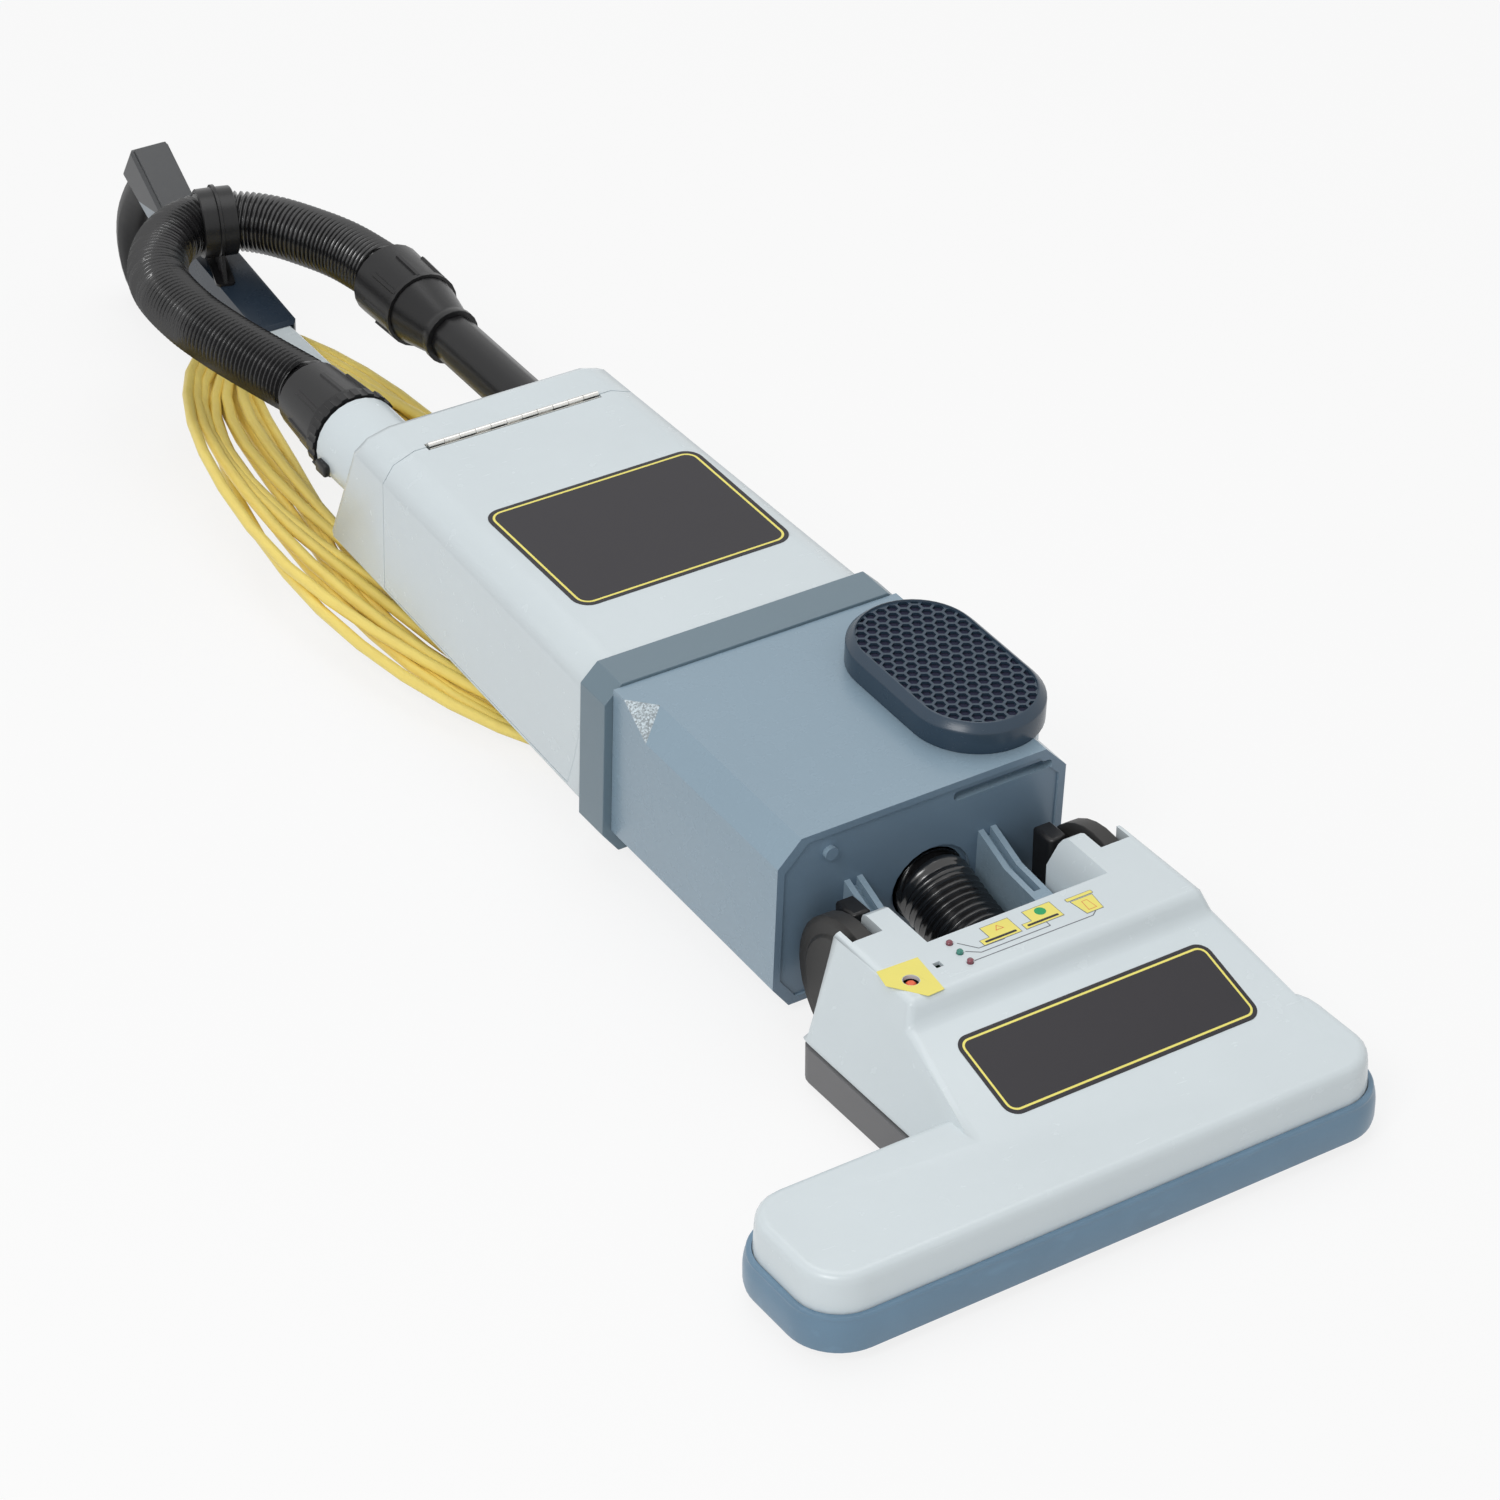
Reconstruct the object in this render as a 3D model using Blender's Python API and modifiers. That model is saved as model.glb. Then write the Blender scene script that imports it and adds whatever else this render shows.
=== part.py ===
"""Commercial upright vacuum cleaner, lying reclined on its nozzle, its wheels and its grip.

Two frames carry the pieces. The head frame has its origin on the floor at the middle of the
nozzle's front: X to the right, Y to the rear, Z up. The body frame hangs on the recline pivot,
tipped by the rest tilt: X across, Y along the body from its end plate to the grip, Z out of
its front face.
"""
import math

import bmesh
import bpy
from mathutils import Matrix, Vector

MM = 0.001

# Fits
GAP = 0.3 * MM
RUNNING = 0.3 * MM
PAST = 40 * MM

# Nozzle, cover and base of the head
NOZZLE_WIDTH = 400 * MM
NOZZLE_DEPTH = 97 * MM
NOZZLE_CORNER = 34 * MM
BUMPER_WALL = 5 * MM
BUMPER_LOW = 8 * MM
BUMPER_HIGH = 33 * MM
BUMPER_REAR = 88 * MM
PARTING = 30 * MM
STRIP_TOP = 57 * MM
STRIP_ROUND = 8 * MM
COVER_WALL = 3.2 * MM
HOOD_REACH = 26 * MM
HOOD_FOOT = 66 * MM
HOOD_HEAD = 148 * MM
HOOD_TOP = 81 * MM
PANEL_FRONT = 153 * MM
PANEL_LOW = 95 * MM
PANEL_HIGH = 97 * MM
TOWER_REAR = 241 * MM
SIDE_REAR = 232 * MM
NECK_TO_END = 134 * MM
NECK_X = NOZZLE_WIDTH / 2 - NECK_TO_END
NECK_HALF_LOW = 129 * MM
NECK_HALF_HIGH = 103 * MM
NECK_ROUND = 5 * MM
BASE_LOW = 6 * MM
BASE_WALL = 3 * MM
CHAMBER_FRONT = 20 * MM
CHAMBER_REAR = 70 * MM
CHAMBER_SIDE = 14 * MM
CHAMBER_HALF = NOZZLE_WIDTH / 2 - CHAMBER_SIDE
SOLE_THICK = 2 * MM
SOLE_FRONT = 10 * MM
SOLE_REAR = 88 * MM
SOLE_SIDE = 12 * MM
SOLE_HALF = NOZZLE_WIDTH / 2 - SOLE_SIDE
MOUTH_FRONT = 22 * MM
MOUTH_REAR = 68 * MM
MOUTH_LEDGE = 4 * MM
MOUTH_HALF = CHAMBER_HALF - MOUTH_LEDGE
RUNNER_WIDTH = 60 * MM
RUNNER_REAR = 86 * MM
RUNNER_FRONT = 74 * MM

# Rear notch for the arms and the short hose, and the wheels beside it
NOTCH_FRONT = 196 * MM
NOTCH_HALF = 59 * MM
NOTCH_SHIFT = 4 * MM
NOTCH_X = NECK_X - NOTCH_SHIFT
NOTCH_FLARE = 12 * MM
NOTCH_FLARE_LOW = 80 * MM
WHEEL_RADIUS = 48 * MM
WHEEL_WIDTH = 18 * MM
WHEEL_SPREAD = 178 * MM
WHEEL_Y = 235 * MM
WHEEL_CLEAR = 1.5 * MM
WHEEL_NOTCH_FRONT = 219 * MM
WHEEL_NOTCH_WIDTH = 21 * MM
AXLE_RADIUS = 4 * MM
POST_SPREAD = 143 * MM
POST_WIDTH = 7 * MM
POST_FRONT = 200 * MM
POST_REAR = 258 * MM
POST_HIGH = 66 * MM

# Recline pivot
PIVOT_Y = 218 * MM
PIVOT_Z = 52 * MM
PIN_RADIUS = 6 * MM
BOSS_RADIUS = 18 * MM
REST_TILT = math.radians(3.27)
BODY_SHIFT = 6 * MM
BODY_X = NECK_X - BODY_SHIFT
PIVOT_TO_PLATE = 67.4 * MM
PIVOT_DEPTH = 55.9 * MM
ARM_SPREAD = 97 * MM
ARM_WIDTH = 13 * MM
ARM_GROOVE = 5 * MM
CLAMP_FRONT = 250 * MM
CLAMP_REAR = 270 * MM
CLAMP_TOP = 88 * MM
CLAMP_WIDTH = 14 * MM

# Brush roll and its drive
ROLL_Y = 45 * MM
ROLL_Z = 26 * MM
ROLL_CORE = 14 * MM
ROLL_TIP = 21.5 * MM
ROLL_TWIST = math.radians(240)
ROLL_SHAFT = 4 * MM
BLOCK_WIDTH = 7 * MM
BLOCK_SIZE = 22 * MM
PULLEY_WIDTH = 9 * MM
ROLL_PULLEY = 12 * MM
MOTOR_PULLEY = 8 * MM
BELT_THICK = 2 * MM
BRUSH_MOTOR_Y = 150 * MM
BRUSH_MOTOR_Z = 45 * MM
BRUSH_MOTOR_RADIUS = 29 * MM
BRUSH_MOTOR_LENGTH = 66 * MM
BRUSH_MOTOR_SHAFT = 3 * MM
CRADLE_WIDTH = 4 * MM

# Air path through the neck
DUCT_SHIFT = 4 * MM
DUCT_X = NECK_X + DUCT_SHIFT
DUCT_HALF = 25 * MM
DUCT_HIGH = 46 * MM
DUCT_WALL = 2.5 * MM
HOSE_END_Z = 37 * MM
NECK_HOSE_RADIUS = 25 * MM
HOSE_CLEAR = 0.8 * MM

# Control panel
BUTTON_SHIFT = 91.5 * MM
BUTTON_X = NECK_X - BUTTON_SHIFT
BUTTON_Y = 171 * MM
BUTTON_WELL = 5 * MM
BUTTON_RADIUS = 3.2 * MM
BUTTON_SUNK = 1.2 * MM
BUTTON_GUIDE = 7 * MM
BUTTON_TRAVEL = 2.5 * MM
LAMP_SHIFT = 53 * MM
LAMP_X = NECK_X - LAMP_SHIFT
LAMP_Y = 177.5 * MM
LAMP_STEP = 10.5 * MM
LAMP_RADIUS = 2 * MM
BOARD_TOP = 87.6 * MM
BOARD_THICK = 1.6 * MM
BOARD_LEFT = 15 * MM
BOARD_RIGHT = 95 * MM
BOARD_NEAR = 16 * MM
SIGHT_SHIFT = 70 * MM
SIGHT_X = NECK_X - SIGHT_SHIFT
SIGHT_Y = 175 * MM
SIGHT_SIZE = 5 * MM

# Motor housing: a section across X, front at FRONT and back at BACK
FRONT = 131 * MM
BACK = 8 * MM
HOUSING_HALF = 104 * MM
HOUSING_END = 184 * MM
FRONT_CHAMFER_X = 16 * MM
FRONT_CHAMFER_Z = 17 * MM
BACK_CHAMFER_X = 12 * MM
BACK_CHAMFER_Z = 16 * MM
CHAMFER_STOP = 166 * MM
CHAMFER_STOP_OUT = 146 * MM
HOUSING_WALL = 3.5 * MM
END_WALL = 12 * MM
PLATE_RIM = 5 * MM
PLATE_SINK = 1.5 * MM
HOSE_HOLE_X = 9 * MM
HOSE_HOLE_Z = 58 * MM
ARCH_HALF = 29 * MM
ARCH_DEPTH = 3 * MM
SLOT_X = 57.5 * MM
SLOT_HALF = 35.5 * MM
SLOT_Z = 119 * MM
SLOT_HIGH = 7 * MM
SLOT_DEPTH = 8 * MM
STUD_X = -67 * MM
STUD_Z = 113 * MM
STUD_RADIUS = 4.5 * MM

# Collar band between the motor housing and the bag housing
BAND_END = 213 * MM
BAND_HALF = 110 * MM
BAND_FRONT = 133 * MM
BAND_BACK = 6 * MM
BAND_CHAMFER = 12 * MM
BAND_WALL = 7 * MM
BULKHEAD_THICK = 4 * MM
MOTOR_EYE = 30 * MM

# Exhaust filter and its oval cover
EXHAUST_X = 72 * MM
EXHAUST_Y = 85 * MM
EXHAUST_HALF = 44 * MM
EXHAUST_LENGTH = 150 * MM
EXHAUST_TOP = 151 * MM
EXHAUST_WALL = 3 * MM
EXHAUST_FACE = 3 * MM
EXHAUST_RIM = 7 * MM
EXHAUST_BEVEL = 3 * MM
SEAT_LOW = 96 * MM
VENT_INSET = 16 * MM
HOLE_PITCH = 8.2 * MM
HOLE_WIDTH = 6.2 * MM

# Suction motor and the air riser
MOTOR_X = -45 * MM
MOTOR_Z = 68 * MM
MOTOR_RADIUS = 46 * MM
MOTOR_LOW = 60 * MM
MOTOR_HIGH = 165 * MM
RING_LOW = 146 * MM
RING_THICK = 8 * MM
RISER_RADIUS = 20 * MM
RISER_LOW = 9 * MM
RISER_TOP = 420 * MM

# Bag housing, its door and the hinge
BAG_HALF_LOW = 107 * MM
BAG_HALF_HIGH = 98 * MM
BAG_BACK = 10 * MM
BAG_CHAMFER_X = 24 * MM
BAG_CHAMFER_Z = 18 * MM
BAG_FOOT_X = 14 * MM
BAG_FOOT_Z = 19 * MM
BAG_WALL = 3.5 * MM
TOP_FRONT = 519 * MM
TOP_BACK = 571 * MM
TOP_ROUND = 8 * MM
SEAM_Y = 480 * MM
SEAM_Z = 31 * MM
COMPARTMENT_TOP = 470 * MM
HINGE_PROUD = 0.6 * MM
HINGE_HALF = 65 * MM
KNUCKLE_RADIUS = 2.6 * MM
KNUCKLE_COUNT = 11
HINGE_PIN = 1.2 * MM
LEAF_THICK = 0.5 * MM
HINGE_SLOT = 3.7 * MM
HINGE_DEEP = 4.2 * MM
PORT_X = -58 * MM
PORT_Z = 75 * MM
PORT_BOSS = 31 * MM
PORT_BORE = 22 * MM
PORT_END = 590 * MM

# Filter bag
BAG_LEFT = -92 * MM
BAG_RIGHT = 16 * MM
BAG_DEEP = 34 * MM
BAG_SHALLOW = 118 * MM
BAG_LOW = 230 * MM
BAG_ROUND = 16 * MM
COLLAR_HALF = 32 * MM
COLLAR_THICK = 4 * MM

# Stretch hose, cuffs and wand
RING_LENGTH = 8 * MM
RING_RADIUS = 33 * MM
RING_TRAVEL = 2 * MM
RING_SKIRT = 26 * MM
RING_SKIRT_LENGTH = 12 * MM
RING_TEETH = 20
CUFF_END = 655 * MM
CUFF_RADIUS = 31 * MM
CUFF_NECK = 27 * MM
CUFF_RIBS = 8
CUFF_RIM = 5 * MM
RIB_HIGH = 1.4 * MM
HOSE_RADIUS = 22 * MM
WAND_X = 64 * MM
WAND_RADIUS = 17.5 * MM
WAND_SIDES = 10
WAND_TOP = 672 * MM
ADAPTER_TOP = 715 * MM
ADAPTER_LOW_RADIUS = 19.5 * MM
ADAPTER_HIGH_RADIUS = 26 * MM
WAND_CUFF_TOP = 765 * MM
CLIP_WALL = 3.5 * MM
CLIP_WIDTH = 26 * MM
CLIP_Y = 899 * MM
CLIP_X = -4 * MM
CLIP_TURN = math.radians(-15)

# Handle: points of its side view are (along the body, out of its front)
STEM_WIDTH = 24 * MM
STEM_LOW = 13 * MM
STEM_HIGH = 27 * MM
STEM_FOOT = 532 * MM
STEM_TOP = 832 * MM
SLEEVE_FOOT = 814 * MM
SLEEVE_WIDTH = 32 * MM
SLEEVE_FRONT = 30 * MM
SLEEVE_BACK = 10 * MM
SLEEVE_TOP_FRONT = (962 * MM, 50 * MM)
SLEEVE_TOP_BACK = (973 * MM, 29 * MM)
SHELL_TOP_FRONT = (1014 * MM, 83 * MM)
SHELL_TOP_BACK = (1030 * MM, 56 * MM)
SHELL_WIDTH = 31 * MM
SHELL_ROUND = 2.5 * MM
FACE_THICK = 2 * MM
GRIP_RADIUS = 15 * MM
GRIP_END = (1042 * MM, -15 * MM)
GRIP_ROUTE = (
    (1011 * MM, 53 * MM), (1025 * MM, 36 * MM), (1039 * MM, 10 * MM), GRIP_END,
    (1033 * MM, -36 * MM), (1014 * MM, -42.6 * MM), (986 * MM, -33 * MM), (952 * MM, -13 * MM),
    (922 * MM, 8 * MM), (900 * MM, 27 * MM))
SWITCH_Y = 984 * MM
SWITCH_Z = 49 * MM
SWITCH_HALF = 10 * MM
SWITCH_HIGH = 9 * MM
SWITCH_DEEP = 6 * MM

# Power cord, wound between the two hooks behind the body
CORD_DIAMETER = 8 * MM
CORD_COLUMNS = 6
CORD_LAYERS = 2
HANK_X = -6 * MM
HANK_Y = 563.5 * MM
HANK_LONG = 301.5 * MM
HANK_LEFT = 127 * MM
HANK_RIGHT = 73 * MM
HANK_FRONT = 7 * MM
HOOK_WIDTH = 26 * MM
HOOK_X = -8 * MM
HOOK_POST = 8 * MM
HOOK_INSIDE = 5 * MM
HOOK_LIP = 36 * MM
HOOK_THICK = 3.5 * MM
RELIEF_X = 45 * MM
RELIEF_Z = 18 * MM
RELIEF_LENGTH = 26 * MM
RELIEF_RADIUS = 6.5 * MM
PLUG_X = -41 * MM
PLUG_Y = 412 * MM
PLUG_LENGTH = 36 * MM
PLUG_WIDTH = 24 * MM
PLUG_PIN = 17 * MM

# The head stands so that the whole machine is centred along Y
REACH = (PIVOT_Y + (PIVOT_TO_PLATE + GRIP_END[0]) * math.cos(REST_TILT)
         + (PIVOT_DEPTH - GRIP_END[1]) * math.sin(REST_TILT) + GRIP_RADIUS)
HEAD_Y = -REACH / 2

# Colours

LIGHT_GREY = (0.66, 0.72, 0.74)
BLUE_GREY = (0.25, 0.34, 0.42)
BAND_BLUE = (0.20, 0.26, 0.29)
BUMPER_BLUE = (0.13, 0.22, 0.32)
NAVY = (0.026, 0.042, 0.065)
SLEEVE_BLUE = (0.035, 0.06, 0.11)
BASE_GREY = (0.21, 0.21, 0.215)
WHEEL_GREY = (0.07, 0.065, 0.06)
BLACK = (0.02, 0.02, 0.021)
STEEL = (0.55, 0.55, 0.56)
CORD_YELLOW = (0.83, 0.61, 0.11)
PAPER = (0.75, 0.70, 0.60)
FILTER_WHITE = (0.82, 0.82, 0.80)
BUTTON_RED = (0.75, 0.12, 0.04)
LAMP_RED = (0.25, 0.03, 0.05)
LAMP_GREEN = (0.03, 0.30, 0.22)
BOARD_GREEN = (0.02, 0.15, 0.07)

for old in list(bpy.data.objects):
    bpy.data.objects.remove(old, do_unlink=True)


def new_collection(name):
    collection = bpy.data.collections.new(name)
    bpy.context.scene.collection.children.link(collection)
    return collection


PARTS = new_collection("upright_vacuum")
CUTTERS = new_collection("cutters")


def frame_empty(name, location, tilt=0.0, parent=None):
    empty = bpy.data.objects.new(name, None)
    empty.location = location
    empty.rotation_euler = (tilt, 0, 0)
    empty.parent = parent
    PARTS.objects.link(empty)
    return empty


HEAD = frame_empty("head_frame", (0, HEAD_Y, 0))
PIVOT = frame_empty("recline_pivot", (BODY_X, HEAD_Y + PIVOT_Y, PIVOT_Z), REST_TILT)
BODY = frame_empty("body_frame", (0, PIVOT_TO_PLATE, -PIVOT_DEPTH), parent=PIVOT)
HINGE_Z = FRONT + HINGE_PROUD
DOOR = frame_empty("door_hinge", (0, SEAM_Y, HINGE_Z), parent=BODY)


def material(name, colour, roughness, metallic):
    made = bpy.data.materials.new(name)
    made.use_nodes = True
    shader = made.node_tree.nodes["Principled BSDF"]
    shader.inputs["Base Color"].default_value = (*colour, 1)
    shader.inputs["Roughness"].default_value = roughness
    shader.inputs["Metallic"].default_value = metallic
    return made


def shape_object(name, shape, parent, origin=(0, 0, 0)):
    """A bmesh as an object in the cutters' collection, in the frame of its parent."""
    bmesh.ops.translate(shape, vec=-Vector(origin), verts=shape.verts)
    mesh = bpy.data.meshes.new(name)
    shape.to_mesh(mesh)
    shape.free()
    made = bpy.data.objects.new(name, mesh)
    made.parent = parent
    made.location = origin
    made.hide_render = True
    made.display_type = "WIRE"
    CUTTERS.objects.link(made)
    return made


def part(made, name, colour, roughness=0.5, metallic=0.0):
    """Makes an object a piece of the machine, with its name and its material."""
    CUTTERS.objects.unlink(made)
    PARTS.objects.link(made)
    made.name = name
    made.hide_render = False
    made.display_type = "TEXTURED"
    made.data.materials.clear()
    made.data.materials.append(material(name, colour, roughness, metallic))
    return made


def box(parent, low, high, origin=(0, 0, 0)):
    shape = bmesh.new()
    bmesh.ops.create_cube(shape, size=1)
    low = Vector(low)
    high = Vector(high)
    bmesh.ops.scale(shape, vec=high - low, verts=shape.verts)
    bmesh.ops.translate(shape, vec=(low + high) / 2, verts=shape.verts)
    return shape_object("box", shape, parent, origin)


AXES = {
    "X": Matrix(((0, 0, 1), (1, 0, 0), (0, 1, 0))).to_4x4(),
    "Y": Matrix(((0, 1, 0), (0, 0, 1), (1, 0, 0))).to_4x4(),
    "Z": Matrix.Identity(4),
}


def on_axis(axis, centre, along=0.0):
    """A point from its two coordinates across an axis and the one along it."""
    first, second = centre
    places = {
        "X": (along, first, second), "Y": (first, along, second), "Z": (first, second, along)}
    return Vector(places[axis])


def cone(parent, axis, centre, low, high, radius, top, sides=24, origin=(0, 0, 0)):
    shape = bmesh.new()
    bmesh.ops.create_cone(
        shape, cap_ends=True, segments=sides, radius1=radius, radius2=top, depth=high - low)
    bmesh.ops.transform(shape, matrix=AXES[axis], verts=shape.verts)
    bmesh.ops.translate(
        shape, vec=on_axis(axis, centre, (low + high) / 2), verts=shape.verts)
    return shape_object("cone", shape, parent, origin)


def cylinder(parent, axis, centre, low, high, radius, sides=24, origin=(0, 0, 0)):
    return cone(parent, axis, centre, low, high, radius, radius, sides, origin)


def curve_shape(curve, matrix=None):
    """A curve's evaluated form as a closed bmesh."""
    source = bpy.data.objects.new("curve", curve)
    CUTTERS.objects.link(source)
    evaluated = source.evaluated_get(bpy.context.evaluated_depsgraph_get())
    mesh = bpy.data.meshes.new_from_object(evaluated)
    bpy.data.objects.remove(source, do_unlink=True)
    shape = bmesh.new()
    shape.from_mesh(mesh)
    bmesh.ops.remove_doubles(shape, verts=shape.verts, dist=1e-6)
    if matrix is not None:
        bmesh.ops.transform(shape, matrix=matrix, verts=shape.verts)
    bmesh.ops.recalc_face_normals(shape, faces=shape.faces)
    return shape


def plate_shape(axis, outlines, low, high):
    """A flat outline, with the outlines of its holes, extruded along an axis from low to high.

    An outline's points are (y, z) for the X axis, (x, z) for Y and (x, y) for Z.
    """
    curve = bpy.data.curves.new("outline", "CURVE")
    curve.dimensions = "2D"
    curve.fill_mode = "BOTH"
    curve.extrude = (high - low) / 2
    for outline in outlines:
        spline = curve.splines.new("POLY")
        spline.points.add(len(outline) - 1)
        for target, (first, second) in zip(spline.points, outline):
            place = (second, first) if axis == "Y" else (first, second)
            target.co = (*place, 0, 1)
        spline.use_cyclic_u = True
    shift = Matrix.Translation((0, 0, (low + high) / 2))
    return curve_shape(curve, AXES[axis] @ shift)


def plate(parent, axis, outlines, low, high, origin=(0, 0, 0)):
    return shape_object("plate", plate_shape(axis, outlines, low, high), parent, origin)


def arc(centre, radius, start, end, steps):
    """Points on an arc, its angles in degrees."""
    points = []
    for step in range(steps + 1):
        turn = math.radians(start + (end - start) * step / steps)
        points.append(
            (centre[0] + radius * math.cos(turn), centre[1] + radius * math.sin(turn)))
    return points


def rounded(left, right, near, far, corner, steps=4):
    """A rectangle with rounded corners."""
    return (arc((left + corner, near + corner), corner, 180, 270, steps)
            + arc((right - corner, near + corner), corner, 270, 360, steps)
            + arc((right - corner, far - corner), corner, 0, 90, steps)
            + arc((left + corner, far - corner), corner, 90, 180, steps))


def rectangle(left, right, near, far):
    return [(left, near), (right, near), (right, far), (left, far)]


def circle(centre, radius, sides=24):
    return arc(centre, radius, 0, 360, sides)[:-1]


def stadium(inset, steps=10):
    """The exhaust cover's oval, drawn in by an inset."""
    half = EXHAUST_HALF - inset
    straight = EXHAUST_LENGTH / 2 - EXHAUST_HALF
    return (arc((EXHAUST_X, EXHAUST_Y + straight), half, 0, 180, steps)
            + arc((EXHAUST_X, EXHAUST_Y - straight), half, 180, 360, steps))


def turned(parent, axis, centre, profile, steps=28):
    """A closed profile of (radius, place along the axis) points, turned about the axis.

    The profile runs down its outer side first, from the far end to the near one.
    """
    mesh = bpy.data.meshes.new("profile")
    shape = bmesh.new()
    points = [shape.verts.new((radius, 0, along)) for radius, along in profile]
    pairs = list(zip(points, points[1:]))
    if profile[0][0] > 0 and profile[-1][0] > 0:
        pairs.append((points[-1], points[0]))
    for first, second in pairs:
        shape.edges.new((first, second))
    shape.to_mesh(mesh)
    shape.free()
    made = bpy.data.objects.new("turned", mesh)
    made.parent = parent
    made.matrix_local = Matrix.Translation(on_axis(axis, centre)) @ AXES[axis]
    made.hide_render = True
    made.display_type = "WIRE"
    CUTTERS.objects.link(made)
    screw = made.modifiers.new("turn", "SCREW")
    screw.steps = steps
    screw.render_steps = steps
    screw.use_merge_vertices = True
    screw.merge_threshold = 0.00001
    return made


def tube(parent, points, radius, resolution=2):
    """A round tube with closed ends along a line of points."""
    curve = bpy.data.curves.new("tube", "CURVE")
    curve.dimensions = "3D"
    curve.bevel_depth = radius
    curve.bevel_resolution = resolution
    curve.use_fill_caps = True
    spline = curve.splines.new("POLY")
    spline.points.add(len(points) - 1)
    for target, point in zip(spline.points, points):
        target.co = (*point, 1)
    return shape_object("tube", curve_shape(curve), parent)


def smooth_route(points, steps):
    """Points on a smooth curve through the route's own points."""
    route = [Vector(point) for point in points]
    route = [2 * route[0] - route[1]] + route + [2 * route[-1] - route[-2]]
    made = []
    for a, b, c, d in zip(route, route[1:], route[2:], route[3:]):
        for step in range(steps):
            t = step / steps
            made.append(0.5 * (2 * b + (c - a) * t + (2 * a - 5 * b + 4 * c - d) * t ** 2
                               + (3 * b - a - 3 * c + d) * t ** 3))
    made.append(route[-2])
    return made


def boolean(target, tools, operation):
    for tool in tools:
        modifier = target.modifiers.new(operation.lower(), "BOOLEAN")
        modifier.operation = operation
        modifier.solver = "EXACT"
        modifier.object = tool
    return target


def cut(target, *tools):
    return boolean(target, tools, "DIFFERENCE")


def join(target, *tools):
    return boolean(target, tools, "UNION")


def bevel(target, width, segments=2, angle=30):
    modifier = target.modifiers.new("rounding", "BEVEL")
    modifier.width = width
    modifier.segments = segments
    modifier.limit_method = "ANGLE"
    modifier.angle_limit = math.radians(angle)
    target.modifiers.new("flat_faces", "TRIANGULATE")
    return target


# Head: bumper, cover and base


def nozzle_outline(inset, rear):
    half = NOZZLE_WIDTH / 2 - inset
    return rounded(-half, half, inset, rear, NOZZLE_CORNER - inset, 6)


def neck_half(height):
    """Half the neck's width at a height: its sides lean in towards the panel."""
    share = (height - PARTING) / (PANEL_HIGH - PARTING)
    return NECK_HALF_LOW + (NECK_HALF_HIGH - NECK_HALF_LOW) * share


def hood(inset, rear, low):
    """The neck with the hood that slopes up to the control panel, drawn in by an inset."""
    slope = (HOOD_TOP - STRIP_TOP) / (HOOD_HEAD - HOOD_FOOT)
    start = HOOD_FOOT - HOOD_REACH + inset
    side = [
        (start, low), (rear, low), (rear, PANEL_HIGH - inset),
        (PANEL_FRONT + inset, PANEL_LOW - inset), (HOOD_HEAD + inset, HOOD_TOP - inset),
        (start, HOOD_TOP - (HOOD_HEAD + inset - start) * slope - inset)]
    shape = plate_shape("X", [side], -1, 1)
    for vertex in shape.verts:
        half = neck_half(vertex.co.z) - inset
        vertex.co.x = NECK_X + math.copysign(half, vertex.co.x)
    return shape_object("hood", shape, HEAD)


def wheel_x(side):
    """The middle of the wheel on the left (-1) or on the right (1)."""
    return NECK_X + side * WHEEL_SPREAD / 2


def post_x(side):
    return NECK_X + side * POST_SPREAD / 2


def wheel_well(side):
    half = WHEEL_WIDTH / 2 + WHEEL_CLEAR
    return cylinder(
        HEAD, "X", (WHEEL_Y, WHEEL_RADIUS), wheel_x(side) - half, wheel_x(side) + half,
        WHEEL_RADIUS + WHEEL_CLEAR, 32)


def side_box(side, inner, outer, near, low, high):
    """A box past the head's rear, between two distances from the neck's middle."""
    ends = sorted((NECK_X + side * inner, NECK_X + side * outer))
    return box(HEAD, (ends[0], near, low), (ends[1], POST_REAR + PAST, high))


COVER_INSET = BUMPER_WALL + GAP
COVER_LOW = PARTING + GAP
WELL_INNER = WHEEL_SPREAD / 2 - WHEEL_WIDTH / 2 - WHEEL_CLEAR
HIGH = PANEL_HIGH + PAST
NOTCH_LEFT = NOTCH_X - NOTCH_HALF
NOTCH_RIGHT = NOTCH_X + NOTCH_HALF

bumper = plate(
    HEAD, "Z", [nozzle_outline(0, NOZZLE_DEPTH + NOZZLE_CORNER)], BUMPER_LOW, BUMPER_HIGH)
bevel(bumper, 3 * MM, 2, 60)
cut(bumper, plate(
    HEAD, "Z", [nozzle_outline(BUMPER_WALL, NOZZLE_DEPTH + PAST)], 0, HIGH))
cut(bumper, box(HEAD, (-1, BUMPER_REAR, 0), (1, 1, HIGH)))
part(bumper, "bumper", BUMPER_BLUE, 0.5)

cover = plate(HEAD, "Z", [nozzle_outline(COVER_INSET, NOZZLE_DEPTH)], PARTING / 2, STRIP_TOP)
bevel(cover, STRIP_ROUND, 3, 80)
cut(cover, box(HEAD, (-1, -1, 0), (1, 1, COVER_LOW)))
join(cover, bevel(hood(0, TOWER_REAR, COVER_LOW), NECK_ROUND, 2, 25))
strip_hollow = plate(
    HEAD, "Z", [nozzle_outline(COVER_INSET + COVER_WALL, NOZZLE_DEPTH - COVER_WALL)], 0,
    STRIP_TOP - COVER_WALL)
cut(cover, strip_hollow, hood(COVER_WALL, NOTCH_FRONT - COVER_WALL, 0))
notch_outline = [
    (NOTCH_LEFT, 0), (NOTCH_RIGHT, 0), (NOTCH_RIGHT, NOTCH_FLARE_LOW),
    (NOTCH_RIGHT + 2 * NOTCH_FLARE, 2 * PANEL_HIGH - NOTCH_FLARE_LOW),
    (NOTCH_LEFT, 2 * PANEL_HIGH - NOTCH_FLARE_LOW)]
cut(cover, plate(HEAD, "Y", [notch_outline], NOTCH_FRONT, POST_REAR + PAST))
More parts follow.
